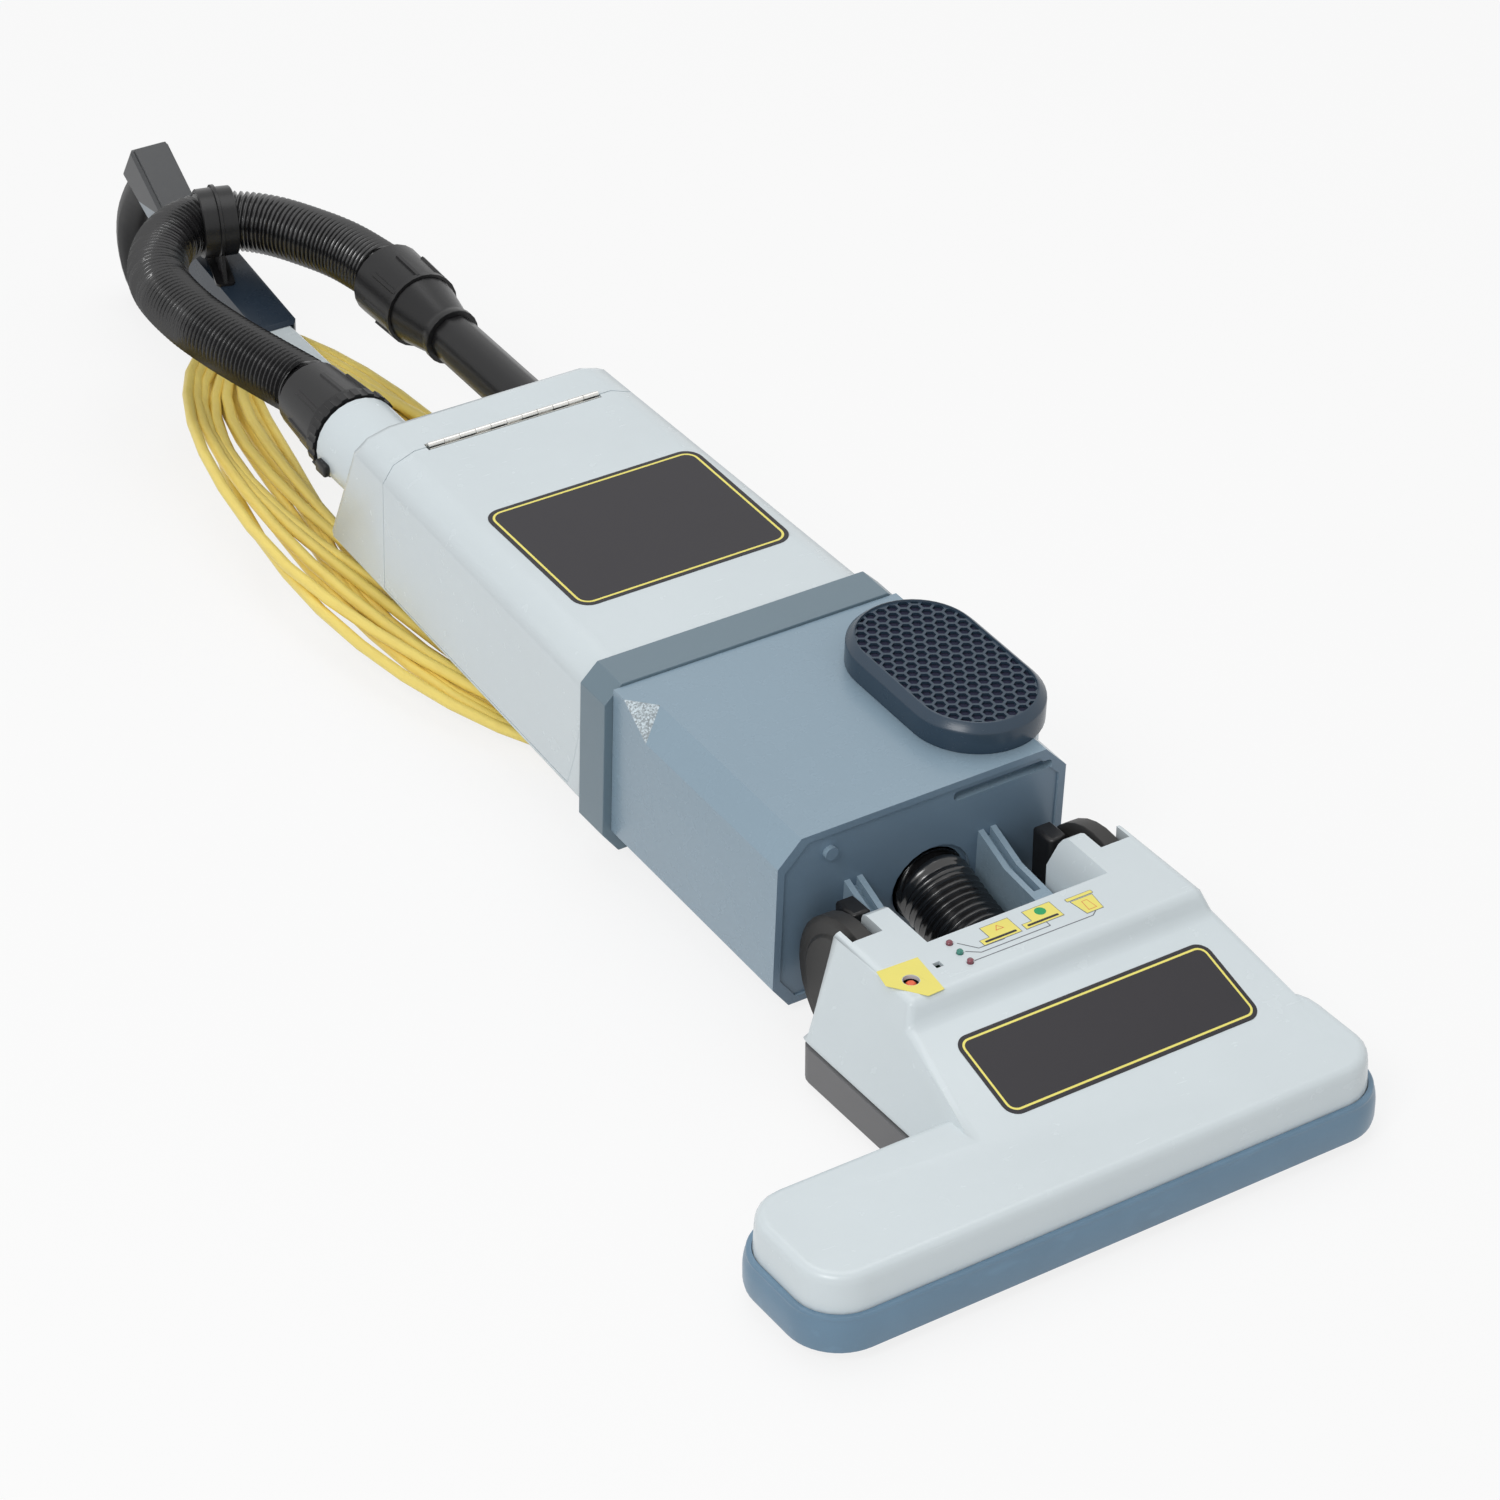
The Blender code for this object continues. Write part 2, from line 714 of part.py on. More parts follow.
hose_hole = cylinder(
    HEAD, "Y", (DUCT_X, HOSE_END_Z), NOTCH_FRONT - 2 * COVER_WALL, NOTCH_FRONT + PAST,
    NECK_HOSE_RADIUS + HOSE_CLEAR, 24)
cut(cover, hose_hole)
for side in (-1, 1):
    slot_half = POST_WIDTH / 2 + GAP
    cut(cover, wheel_well(side))
    cut(cover, side_box(
        side, WELL_INNER, WELL_INNER + WHEEL_NOTCH_WIDTH, WHEEL_NOTCH_FRONT, PIVOT_Z, HIGH))
    cut(cover, side_box(side, WELL_INNER, 2 * NECK_HALF_LOW, SIDE_REAR, 0, HIGH))
    cut(cover, box(
        HEAD, (post_x(side) - slot_half, POST_FRONT - GAP, 0),
        (post_x(side) + slot_half, POST_REAR + PAST, POST_HIGH + GAP)))
cut(cover, cylinder(
    HEAD, "X", (PIVOT_Y, PIVOT_Z), post_x(-1), post_x(1), PIN_RADIUS + GAP, 20))
cut(cover, cylinder(
    HEAD, "X", (WHEEL_Y, WHEEL_RADIUS), wheel_x(-1), wheel_x(1), AXLE_RADIUS + GAP, 16))
cut(cover, cylinder(
    HEAD, "Z", (BUTTON_X, BUTTON_Y), BOARD_TOP, HIGH, BUTTON_WELL, 20))
for step in (-1, 0, 1):
    cut(cover, cylinder(
        HEAD, "Z", (LAMP_X, LAMP_Y + step * LAMP_STEP), BOARD_TOP, HIGH, LAMP_RADIUS + GAP, 12))
cut(cover, plate(HEAD, "Z", [rectangle(
    SIGHT_X - SIGHT_SIZE / 2, SIGHT_X + SIGHT_SIZE / 2, SIGHT_Y - SIGHT_SIZE / 2,
    SIGHT_Y + SIGHT_SIZE / 2)], BOARD_TOP, HIGH))
part(cover, "head_cover", LIGHT_GREY, 0.42)

NECK_LEFT = NECK_X - NECK_HALF_LOW + GAP
NECK_RIGHT = NECK_X + NECK_HALF_LOW - GAP
BASE_FLOOR = BASE_LOW + BASE_WALL
BASE_OPEN = PARTING + PAST
base = plate(HEAD, "Z", [nozzle_outline(COVER_INSET, NOZZLE_DEPTH)], BASE_LOW, PARTING)
join(base, box(
    HEAD, (NECK_LEFT, NOZZLE_DEPTH - PAST, BASE_LOW), (NECK_RIGHT, TOWER_REAR, PARTING)))
MOUTH_END = CHAMBER_REAR + BASE_WALL
cut(base, box(
    HEAD, (-CHAMBER_HALF, CHAMBER_FRONT, 0), (CHAMBER_HALF, CHAMBER_REAR, BASE_OPEN)))
WING_HALF = NOZZLE_WIDTH / 2 - COVER_INSET - BASE_WALL
cut(base, box(
    HEAD, (-WING_HALF, MOUTH_END, BASE_FLOOR),
    (WING_HALF, NOZZLE_DEPTH - BASE_WALL, BASE_OPEN)))
cut(base, box(
    HEAD, (NECK_LEFT + BASE_WALL, MOUTH_END + BASE_WALL, BASE_FLOOR),
    (NECK_RIGHT - BASE_WALL, NOTCH_FRONT - COVER_WALL, BASE_OPEN)))
cut(base, box(
    HEAD, (DUCT_X - DUCT_HALF - GAP, CHAMBER_REAR - PAST, BASE_FLOOR),
    (DUCT_X + DUCT_HALF + GAP, MOUTH_END + PAST, BASE_OPEN)))
cut(base, box(
    HEAD, (NOTCH_LEFT, NOTCH_FRONT, BASE_FLOOR), (NOTCH_RIGHT, POST_REAR + PAST, BASE_OPEN)))
cut(base, hose_hole)
BELT_RIGHT = CHAMBER_HALF - GAP - BLOCK_WIDTH - GAP
BELT_LEFT = BELT_RIGHT - PULLEY_WIDTH
cut(base, box(
    HEAD, (BELT_LEFT - GAP, CHAMBER_REAR - PAST, BASE_FLOOR),
    (BELT_RIGHT + GAP, MOUTH_END + PAST, BASE_OPEN)))
for side in (-1, 1):
    cut(base, wheel_well(side))
    cut(base, side_box(side, WELL_INNER, 2 * NECK_HALF_LOW, SIDE_REAR, 0, BASE_OPEN))
MOTOR_RIGHT = BELT_LEFT - GAP
MOTOR_LEFT = MOTOR_RIGHT - BRUSH_MOTOR_LENGTH
cradle_tool = cylinder(
    HEAD, "X", (BRUSH_MOTOR_Y, BRUSH_MOTOR_Z), MOTOR_LEFT - PAST, MOTOR_RIGHT + PAST,
    BRUSH_MOTOR_RADIUS + GAP, 24)
for share in (0.2, 0.8):
    middle = MOTOR_LEFT + BRUSH_MOTOR_LENGTH * share
    reach = BRUSH_MOTOR_RADIUS * 0.8
    cradle = box(
        HEAD, (middle - CRADLE_WIDTH / 2, BRUSH_MOTOR_Y - reach, BASE_LOW + MM),
        (middle + CRADLE_WIDTH / 2, BRUSH_MOTOR_Y + reach, PARTING))
    join(base, cut(cradle, cradle_tool))
for side in (-1, 1):
    join(base, box(
        HEAD, (post_x(side) - POST_WIDTH / 2, POST_FRONT, BASE_LOW),
        (post_x(side) + POST_WIDTH / 2, POST_REAR, POST_HIGH)))
cut(base, cylinder(
    HEAD, "X", (WHEEL_Y, WHEEL_RADIUS), post_x(-1) - POST_WIDTH, post_x(1) + POST_WIDTH,
    AXLE_RADIUS + GAP, 16))
cut(base, cylinder(
    HEAD, "X", (PIVOT_Y, PIVOT_Z), post_x(-1) - POST_WIDTH, post_x(1) + POST_WIDTH,
    PIN_RADIUS + GAP, 20))
part(base, "head_base", BASE_GREY, 0.55)

SOLE_TOP = BASE_LOW - GAP
sole = plate(
    HEAD, "Z", [rounded(
        -SOLE_HALF, SOLE_HALF, SOLE_FRONT, SOLE_REAR, NOZZLE_CORNER - SOLE_FRONT, 4)],
    SOLE_TOP - SOLE_THICK, SOLE_TOP)
for side in (-1, 0, 1):
    middle = side * (SOLE_HALF - RUNNER_WIDTH)
    runner = box(
        HEAD, (middle - RUNNER_WIDTH / 2, RUNNER_FRONT, 0),
        (middle + RUNNER_WIDTH / 2, RUNNER_REAR, SOLE_TOP - SOLE_THICK / 2))
    join(sole, runner)
cut(sole, plate(
    HEAD, "Z", [rectangle(-MOUTH_HALF, MOUTH_HALF, MOUTH_FRONT, MOUTH_REAR)], -PAST, PAST))
part(sole, "sole_plate", STEEL, 0.35, 0.9)

# Head: brush roll and its drive

ROLL_LEFT = -BELT_RIGHT
ROLL_AXIS = (0, ROLL_Y, ROLL_Z)
SECTIONS = 16
LOBES = 4
roll_shape = bmesh.new()
loops = []
for index in range(SECTIONS + 1):
    share = index / SECTIONS
    x = ROLL_LEFT + (BELT_LEFT - ROLL_LEFT) * share
    twist = ROLL_TWIST * (0.5 - abs(share - 0.5))
    loop = []
    for step in range(3 * LOBES):
        turn = twist + 2 * math.pi * step / (3 * LOBES)
        radius = ROLL_TIP if step % 3 == 0 else ROLL_CORE
        loop.append(roll_shape.verts.new(
            (x, ROLL_Y + radius * math.cos(turn), ROLL_Z + radius * math.sin(turn))))
    loops.append(loop)
for first, second in zip(loops, loops[1:]):
    for step in range(3 * LOBES):
        after = (step + 1) % (3 * LOBES)
        roll_shape.faces.new((first[step], first[after], second[after], second[step]))
roll_shape.faces.new(loops[0])
roll_shape.faces.new(loops[-1])
bmesh.ops.recalc_face_normals(roll_shape, faces=roll_shape.faces)
roll = shape_object("roll", roll_shape, HEAD, ROLL_AXIS)
join(roll, cylinder(
    HEAD, "X", (ROLL_Y, ROLL_Z), BELT_LEFT - MM, BELT_RIGHT, ROLL_PULLEY, 20))
join(roll, cylinder(
    HEAD, "X", (ROLL_Y, ROLL_Z), ROLL_LEFT - BLOCK_WIDTH + MM, BELT_RIGHT + BLOCK_WIDTH - MM,
    ROLL_SHAFT, 12))
part(roll, "brush_roll", BLACK, 0.7)

BLOCK_HALF = (CHAMBER_REAR - CHAMBER_FRONT) / 2 - GAP
for name, low in (
        ("brush_bearing_left", -CHAMBER_HALF + GAP),
        ("brush_bearing_right", CHAMBER_HALF - GAP - BLOCK_WIDTH)):
    block = box(
        HEAD, (low, ROLL_Y - BLOCK_HALF, ROLL_Z - BLOCK_SIZE / 2),
        (low + BLOCK_WIDTH, ROLL_Y + BLOCK_HALF, ROLL_Z + BLOCK_SIZE / 2))
    cut(block, cylinder(
        HEAD, "X", (ROLL_Y, ROLL_Z), low - PAST, low + PAST, ROLL_SHAFT + RUNNING, 12))
    part(block, name, BLACK, 0.6)

DRIVE = (BRUSH_MOTOR_Y, BRUSH_MOTOR_Z)
motor = cylinder(HEAD, "X", DRIVE, MOTOR_LEFT, MOTOR_RIGHT, BRUSH_MOTOR_RADIUS, 24)
join(motor, cylinder(
    HEAD, "X", DRIVE, MOTOR_RIGHT - MM, BELT_RIGHT, BRUSH_MOTOR_SHAFT, 12))
part(motor, "brush_motor", STEEL, 0.4, 0.8)
pulley = cylinder(
    HEAD, "X", DRIVE, BELT_LEFT, BELT_RIGHT, MOTOR_PULLEY, 20,
    (0, BRUSH_MOTOR_Y, BRUSH_MOTOR_Z))
cut(pulley, cylinder(
    HEAD, "X", DRIVE, BELT_LEFT - PAST, BELT_RIGHT + PAST, BRUSH_MOTOR_SHAFT + RUNNING, 12))
part(pulley, "motor_pulley", STEEL, 0.35, 0.9)


def belt_outline(offset):
    """The belt's loop round both pulleys, at an offset from their rims."""
    span_y = BRUSH_MOTOR_Y - ROLL_Y
    span_z = BRUSH_MOTOR_Z - ROLL_Z
    lean = math.degrees(math.atan2(span_z, span_y))
    wrap = math.degrees(math.acos((ROLL_PULLEY - MOTOR_PULLEY) / math.hypot(span_y, span_z)))
    return (arc(DRIVE, MOTOR_PULLEY + offset, lean - wrap, lean + wrap, 8)
            + arc((ROLL_Y, ROLL_Z), ROLL_PULLEY + offset, lean + wrap, lean - wrap + 360, 10))


belt = plate(
    HEAD, "X", [belt_outline(2 * RUNNING + BELT_THICK), belt_outline(2 * RUNNING)],
    BELT_LEFT + MM, BELT_RIGHT - MM)
part(belt, "drive_belt", BLACK, 0.7)

DUCT_REAR = NOTCH_FRONT - COVER_WALL - GAP
duct = box(
    HEAD, (DUCT_X - DUCT_HALF, CHAMBER_REAR + GAP, BASE_FLOOR + GAP),
    (DUCT_X + DUCT_HALF, DUCT_REAR, DUCT_HIGH))
cut(duct, box(
    HEAD, (DUCT_X - DUCT_HALF + DUCT_WALL, 0, BASE_FLOOR + GAP + DUCT_WALL),
    (DUCT_X + DUCT_HALF - DUCT_WALL, 1, DUCT_HIGH - DUCT_WALL)))
part(duct, "nozzle_duct", BLACK, 0.5)

# Head: wheels, pivot pins and clamps

HUB_LIP = 2 * MM
HUB_RADIUS = 0.78 * WHEEL_RADIUS
for name, side in (("left", -1), ("right", 1)):
    half = WHEEL_WIDTH / 2
    bore = AXLE_RADIUS + RUNNING
    tread = WHEEL_RADIUS - 2 * HUB_LIP
    wheel = turned(HEAD, "X", (WHEEL_Y, WHEEL_RADIUS), [
        (bore, half), (HUB_RADIUS - HUB_LIP, half), (HUB_RADIUS, half - HUB_LIP),
        (tread, half - HUB_LIP), (WHEEL_RADIUS, half - 2 * HUB_LIP),
        (WHEEL_RADIUS, -half + 2 * HUB_LIP), (tread, -half + HUB_LIP),
        (HUB_RADIUS, -half + HUB_LIP), (HUB_RADIUS - HUB_LIP, -half), (bore, -half)], 32)
    wheel.location.x = wheel_x(side)
    part(wheel, "wheel_" + name, WHEEL_GREY, 0.6)
    ends = sorted((wheel_x(side) + side * (half + MM), post_x(side) - side * POST_WIDTH / 2))
    axle = cylinder(HEAD, "X", (WHEEL_Y, WHEEL_RADIUS), ends[0], ends[1], AXLE_RADIUS, 16)
    part(axle, "axle_" + name, STEEL, 0.3, 0.9)
    arm_x = BODY_X + side * ARM_SPREAD / 2
    ends = sorted((post_x(side) + side * POST_WIDTH / 2, arm_x - side * ARM_WIDTH / 2))
    pin = cylinder(HEAD, "X", (PIVOT_Y, PIVOT_Z), ends[0], ends[1], PIN_RADIUS, 20)
    part(pin, "pivot_pin_" + name, STEEL, 0.3, 0.9)
    clamp = box(
        HEAD, (post_x(side) - CLAMP_WIDTH / 2, CLAMP_FRONT, POST_HIGH - 2 * POST_WIDTH),
        (post_x(side) + CLAMP_WIDTH / 2, CLAMP_REAR, CLAMP_TOP))
    bevel(clamp, 2 * MM, 1, 60)
    cut(clamp, box(
        HEAD, (post_x(side) - POST_WIDTH / 2 - GAP, 0, 0),
        (post_x(side) + POST_WIDTH / 2 + GAP, POST_REAR + GAP, POST_HIGH + GAP)))
    part(clamp, "pivot_clamp_" + name, BLACK, 0.5)

# Head: control panel

PANEL_UNDER = PANEL_LOW - COVER_WALL
LAMP_TOP = PANEL_HIGH + 0.6 * MM
BUTTON_TOP = PANEL_LOW - BUTTON_SUNK
BUTTON_LOW = PANEL_UNDER - BUTTON_GUIDE
button = turned(HEAD, "Z", (BUTTON_X, BUTTON_Y), [
    (0, BUTTON_TOP), (BUTTON_RADIUS - MM, BUTTON_TOP), (BUTTON_RADIUS, BUTTON_TOP - MM),
    (BUTTON_RADIUS, BUTTON_LOW), (0, BUTTON_LOW)], 20)
part(button, "reset_button", BUTTON_RED, 0.4)
BREAKER_TOP = PANEL_UNDER - 0.6 * MM
breaker = box(
    HEAD, (BUTTON_X - 10 * MM, BUTTON_Y - 14 * MM, BREAKER_TOP - 26 * MM),
    (BUTTON_X + 12 * MM, BUTTON_Y + 14 * MM, BREAKER_TOP))
cut(breaker, cylinder(
    HEAD, "Z", (BUTTON_X, BUTTON_Y), BUTTON_LOW - BUTTON_TRAVEL - GAP, HIGH,
    BUTTON_RADIUS + RUNNING, 20))
part(breaker, "reset_breaker", BLACK, 0.5)
for name, step, colour in (
        ("brush_lamp", 1, LAMP_RED), ("power_lamp", 0, LAMP_GREEN), ("bag_lamp", -1, LAMP_RED)):
    lamp = turned(HEAD, "Z", (LAMP_X, LAMP_Y + step * LAMP_STEP), [
        (0, LAMP_TOP + 0.6 * MM), (LAMP_RADIUS * 0.6, LAMP_TOP + 0.4 * MM),
        (LAMP_RADIUS, LAMP_TOP - 0.4 * MM), (LAMP_RADIUS, BOARD_TOP + GAP),
        (0, BOARD_TOP + GAP)], 12)
    part(lamp, name, colour, 0.2)
board = box(
    HEAD, (LAMP_X - BOARD_LEFT, LAMP_Y - BOARD_NEAR, BOARD_TOP - BOARD_THICK),
    (LAMP_X + BOARD_RIGHT, NOTCH_FRONT - COVER_WALL - GAP, BOARD_TOP))
part(board, "indicator_board", BOARD_GREEN, 0.5)

# Body: motor housing


def mirrored(right):
    """A section's outline from the points of its right side, top to bottom."""
    return right + [(-x, z) for x, z in reversed(right)]


def housing_section(inset):
    half = HOUSING_HALF - inset
    back = BACK + inset
    return mirrored([
        (half, FRONT - inset), (half, back + BACK_CHAMFER_Z), (half - BACK_CHAMFER_X, back)])


def chamfered_section(inset):
    """The same section with its front corners cut off as well."""
    half = HOUSING_HALF - inset
    front = FRONT - inset
    return mirrored([
        (half - FRONT_CHAMFER_X, front), (half, front - FRONT_CHAMFER_Z),
        (half, BACK + inset + BACK_CHAMFER_Z), (half - BACK_CHAMFER_X, BACK + inset)])


def chamfer_tool(side):
    """Cuts a front corner off, ending towards the band in a slanted facet."""
    reach = 3 * MM
    lean = FRONT_CHAMFER_Z / FRONT_CHAMFER_X
    outline = [
        (HOUSING_HALF - FRONT_CHAMFER_X - reach, FRONT + reach * lean),
        (HOUSING_HALF + reach, FRONT - FRONT_CHAMFER_Z - reach * lean),
        (HOUSING_HALF + reach, FRONT + reach * lean)]
    shape = plate_shape("Y", [[(side * x, z) for x, z in outline]], -PAST, CHAMFER_STOP)
    for vertex in shape.verts:
        outer = vertex.co.z > FRONT and abs(vertex.co.x) > HOUSING_HALF
        if vertex.co.y > 0 and outer:
            vertex.co.y = CHAMFER_STOP_OUT
    return shape_object("chamfer", shape, BODY)


PIVOT_AT = (-PIVOT_TO_PLATE, PIVOT_DEPTH)
ARM_ROOT = END_WALL / 2
ARM_OUTLINE = (
    [(ARM_ROOT, 88 * MM), (-27 * MM, 76 * MM), (-60 * MM, PIVOT_DEPTH + BOSS_RADIUS)]
    + arc(PIVOT_AT, BOSS_RADIUS, 90, 270, 10) + [(ARM_ROOT, 30 * MM)])
GROOVE_OUTLINE = [
    (PLATE_SINK, 80 * MM), (-27 * MM, 69 * MM), (-52 * MM, 68 * MM), (-52 * MM, 100 * MM),
    (PLATE_SINK, 100 * MM)]

housing = plate(BODY, "Y", [housing_section(0)], 0, HOUSING_END)
cut(housing, chamfer_tool(-1), chamfer_tool(1))
cut(housing, plate(BODY, "Y", [chamfered_section(PLATE_RIM)], -PAST, PLATE_SINK))
join(housing, cylinder(BODY, "Y", (STUD_X, STUD_Z), -2 * MM, ARM_ROOT, STUD_RADIUS, 12))
for side in (-1, 1):
    middle = side * ARM_SPREAD / 2
    arm = plate(BODY, "X", [ARM_OUTLINE], middle - ARM_WIDTH / 2, middle + ARM_WIDTH / 2)
    groove = plate(
        BODY, "X", [GROOVE_OUTLINE], middle - ARM_GROOVE / 2, middle + ARM_GROOVE / 2)
    join(housing, cut(arm, groove))
join(housing, plate(BODY, "Z", [stadium(EXHAUST_WALL + GAP)], SEAT_LOW, FRONT))
cut(housing, plate(
    BODY, "Y", [chamfered_section(HOUSING_WALL)], END_WALL, HOUSING_END + PAST))
cut(housing, plate(BODY, "Z", [stadium(VENT_INSET)], FRONT - PAST / 2, FRONT + PAST))
cut(housing, cylinder(
    BODY, "Y", (HOSE_HOLE_X, HOSE_HOLE_Z), -PAST, END_WALL + PAST, NECK_HOSE_RADIUS + HOSE_CLEAR, 24))
arch = arc((HOSE_HOLE_X, HOSE_HOLE_Z), ARCH_HALF, 0, 180, 12) + [
    (HOSE_HOLE_X - ARCH_HALF, BACK + 2 * PLATE_RIM),
    (HOSE_HOLE_X + ARCH_HALF, BACK + 2 * PLATE_RIM)]
cut(housing, plate(BODY, "Y", [arch], -PAST, PLATE_SINK + ARCH_DEPTH))
cut(housing, plate(BODY, "Y", [rounded(
    SLOT_X - SLOT_HALF, SLOT_X + SLOT_HALF, SLOT_Z - SLOT_HIGH / 2, SLOT_Z + SLOT_HIGH / 2,
    SLOT_HIGH * 0.45, 3)], -PAST, SLOT_DEPTH))
cut(housing, cylinder(
    BODY, "X", PIVOT_AT, -ARM_SPREAD, ARM_SPREAD, PIN_RADIUS + RUNNING, 20))
part(housing, "motor_housing", BLUE_GREY, 0.45)


def band_section(inset):
    half = BAND_HALF - inset
    front = BAND_FRONT - inset
    back = BAND_BACK + inset
    return mirrored([
        (half - BAND_CHAMFER, front), (half, front - BAND_CHAMFER),
        (half, back + BACK_CHAMFER_Z), (half - BACK_CHAMFER_X, back)])


band = plate(
    BODY, "Y", [band_section(0), band_section(BAND_WALL)], HOUSING_END + GAP, BAND_END)
part(band, "collar_band", BAND_BLUE, 0.5)


def riser_at(along):
    """The middle of the air riser at a place along the body."""
    share = (along - RISER_LOW) / (RISER_TOP - RISER_LOW)
    return (HOSE_HOLE_X + (WAND_X - HOSE_HOLE_X) * share,
            HOSE_HOLE_Z + (PORT_Z - HOSE_HOLE_Z) * share)


riser_line = [(HOSE_HOLE_X, RISER_LOW, HOSE_HOLE_Z), (WAND_X, RISER_TOP, PORT_Z)]
part(tube(BODY, riser_line, RISER_RADIUS, 4), "riser_duct", BLACK, 0.5)
RISER_HOLE = RISER_RADIUS + MM
BULKHEAD = HOUSING_END + 2 * MM
bulkhead = plate(BODY, "Y", [
    band_section(BAND_WALL + GAP), circle((MOTOR_X, MOTOR_Z), MOTOR_EYE),
    circle(riser_at(BULKHEAD + BULKHEAD_THICK / 2), RISER_HOLE)],
    BULKHEAD, BULKHEAD + BULKHEAD_THICK)
part(bulkhead, "motor_bulkhead", BLACK, 0.6)
FLANGE = MOTOR_RADIUS * 0.85
suction_motor = turned(BODY, "Y", (MOTOR_X, MOTOR_Z), [
    (0, BULKHEAD - GAP), (FLANGE, BULKHEAD - GAP), (MOTOR_RADIUS, MOTOR_HIGH),
    (MOTOR_RADIUS, MOTOR_HIGH - 24 * MM), (FLANGE, MOTOR_HIGH - 30 * MM),
    (FLANGE, MOTOR_LOW + 12 * MM), (MOTOR_RADIUS / 2, MOTOR_LOW), (0, MOTOR_LOW)], 24)
part(suction_motor, "suction_motor", STEEL, 0.4, 0.8)
ring = plate(BODY, "Y", [
    chamfered_section(HOUSING_WALL + GAP), circle((MOTOR_X, MOTOR_Z), MOTOR_RADIUS + GAP),
    circle(riser_at(RING_LOW + RING_THICK / 2), RISER_HOLE)], RING_LOW, RING_LOW + RING_THICK)
part(ring, "motor_mount", BLACK, 0.7)

# Body: exhaust filter and its cover

COVER_FOOT = FRONT + GAP
grille = plate(BODY, "Z", [stadium(0)], COVER_FOOT - 2 * EXHAUST_BEVEL, EXHAUST_TOP)
bevel(grille, EXHAUST_BEVEL, 2, 60)
cut(grille, box(
    BODY, (-2 * HOUSING_HALF, -HOUSING_END, BACK), (2 * HOUSING_HALF, 2 * HOUSING_END, COVER_FOOT)))
cut(grille, plate(
    BODY, "Z", [stadium(EXHAUST_WALL)], COVER_FOOT - PAST, EXHAUST_TOP - EXHAUST_FACE))
holes = bmesh.new()
ROW_STEP = HOLE_PITCH * math.sqrt(3) / 2
rows = int(EXHAUST_LENGTH / ROW_STEP / 2)
columns = int(EXHAUST_HALF / HOLE_PITCH) + 1
straight = EXHAUST_LENGTH / 2 - EXHAUST_HALF
reach = EXHAUST_HALF - EXHAUST_RIM - HOLE_WIDTH / 2
upright = Matrix.Rotation(math.radians(30), 4, "Z")
for row in range(-rows, rows + 1):
    for column in range(-columns, columns + 1):
        x = (column + 0.5 * (row % 2)) * HOLE_PITCH
        y = row * ROW_STEP
        if math.hypot(x, max(abs(y) - straight, 0)) > reach:
            continue
        centre = Vector((EXHAUST_X + x, EXHAUST_Y + y, EXHAUST_TOP))
        bmesh.ops.create_cone(
            holes, cap_ends=True, segments=6, radius1=HOLE_WIDTH / math.sqrt(3),
            radius2=HOLE_WIDTH / math.sqrt(3), depth=4 * EXHAUST_FACE,
            matrix=Matrix.Translation(centre) @ upright)
cut(grille, shape_object("holes", holes, BODY))
part(grille, "exhaust_cover", NAVY, 0.45)
exhaust_filter = plate(
    BODY, "Z", [stadium(EXHAUST_WALL + GAP)], COVER_FOOT, EXHAUST_TOP - EXHAUST_FACE - GAP)
part(exhaust_filter, "exhaust_filter", FILTER_WHITE, 0.9)

# Body: bag housing, door and hinge


def bag_form(inset, low, high, sloped=False):
    """The bag housing's outer form, drawn in by an inset: it narrows towards its sloped top."""
    half = BAG_HALF_LOW - inset
    front = FRONT - inset
    back = BAG_BACK + inset
    section = mirrored([
        (half - BAG_CHAMFER_X, front), (half - BAG_CHAMFER_X / 3, front - BAG_CHAMFER_Z / 3),
        (half, front - BAG_CHAMFER_Z), (half, back + BAG_FOOT_Z), (half - BAG_FOOT_X, back)])
    shape = plate_shape("Y", [section], low, high)
    narrow = (BAG_HALF_LOW - BAG_HALF_HIGH) / (TOP_FRONT - BAND_END)
    for vertex in shape.verts:
        if sloped and vertex.co.y > SEAM_Y:
            drop = (FRONT - vertex.co.z) / (FRONT - BAG_BACK)
            vertex.co.y = TOP_FRONT + (TOP_BACK - TOP_FRONT) * drop
        vertex.co.x -= math.copysign(narrow * (vertex.co.y - BAND_END), vertex.co.x)
    if sloped:
        top = [
            edge for edge in shape.edges
            if all(v.co.y > SEAM_Y for v in edge.verts) and edge.calc_face_angle() > 0.3]
        bmesh.ops.bevel(
            shape, geom=top, offset=TOP_ROUND, segments=2, profile=0.5, affect="EDGES",
            material=-1)
    return shape_object("bag_form", shape, BODY)


DOOR_LOW = BAND_END + GAP
SWING = SEAM_Y - DOOR_LOW


def door_region(grow):
    """What the door takes in, seen from the side: its lower end swings clear about the hinge."""
    edge = []
    for step in range(9):
        depth = (HINGE_Z - SEAM_Z + grow) * step / 8
        edge.append((SEAM_Y - math.sqrt((SWING + grow) ** 2 - depth ** 2), HINGE_Z - depth))
    top = SEAM_Y - GAP / 2 + grow
    outline = [(top, HINGE_Z + PAST), (edge[0][0], HINGE_Z + PAST)] + edge
    outline.append((top, SEAM_Z - grow))
    return plate(BODY, "X", [outline], -2 * BAG_HALF_LOW, 2 * BAG_HALF_LOW)


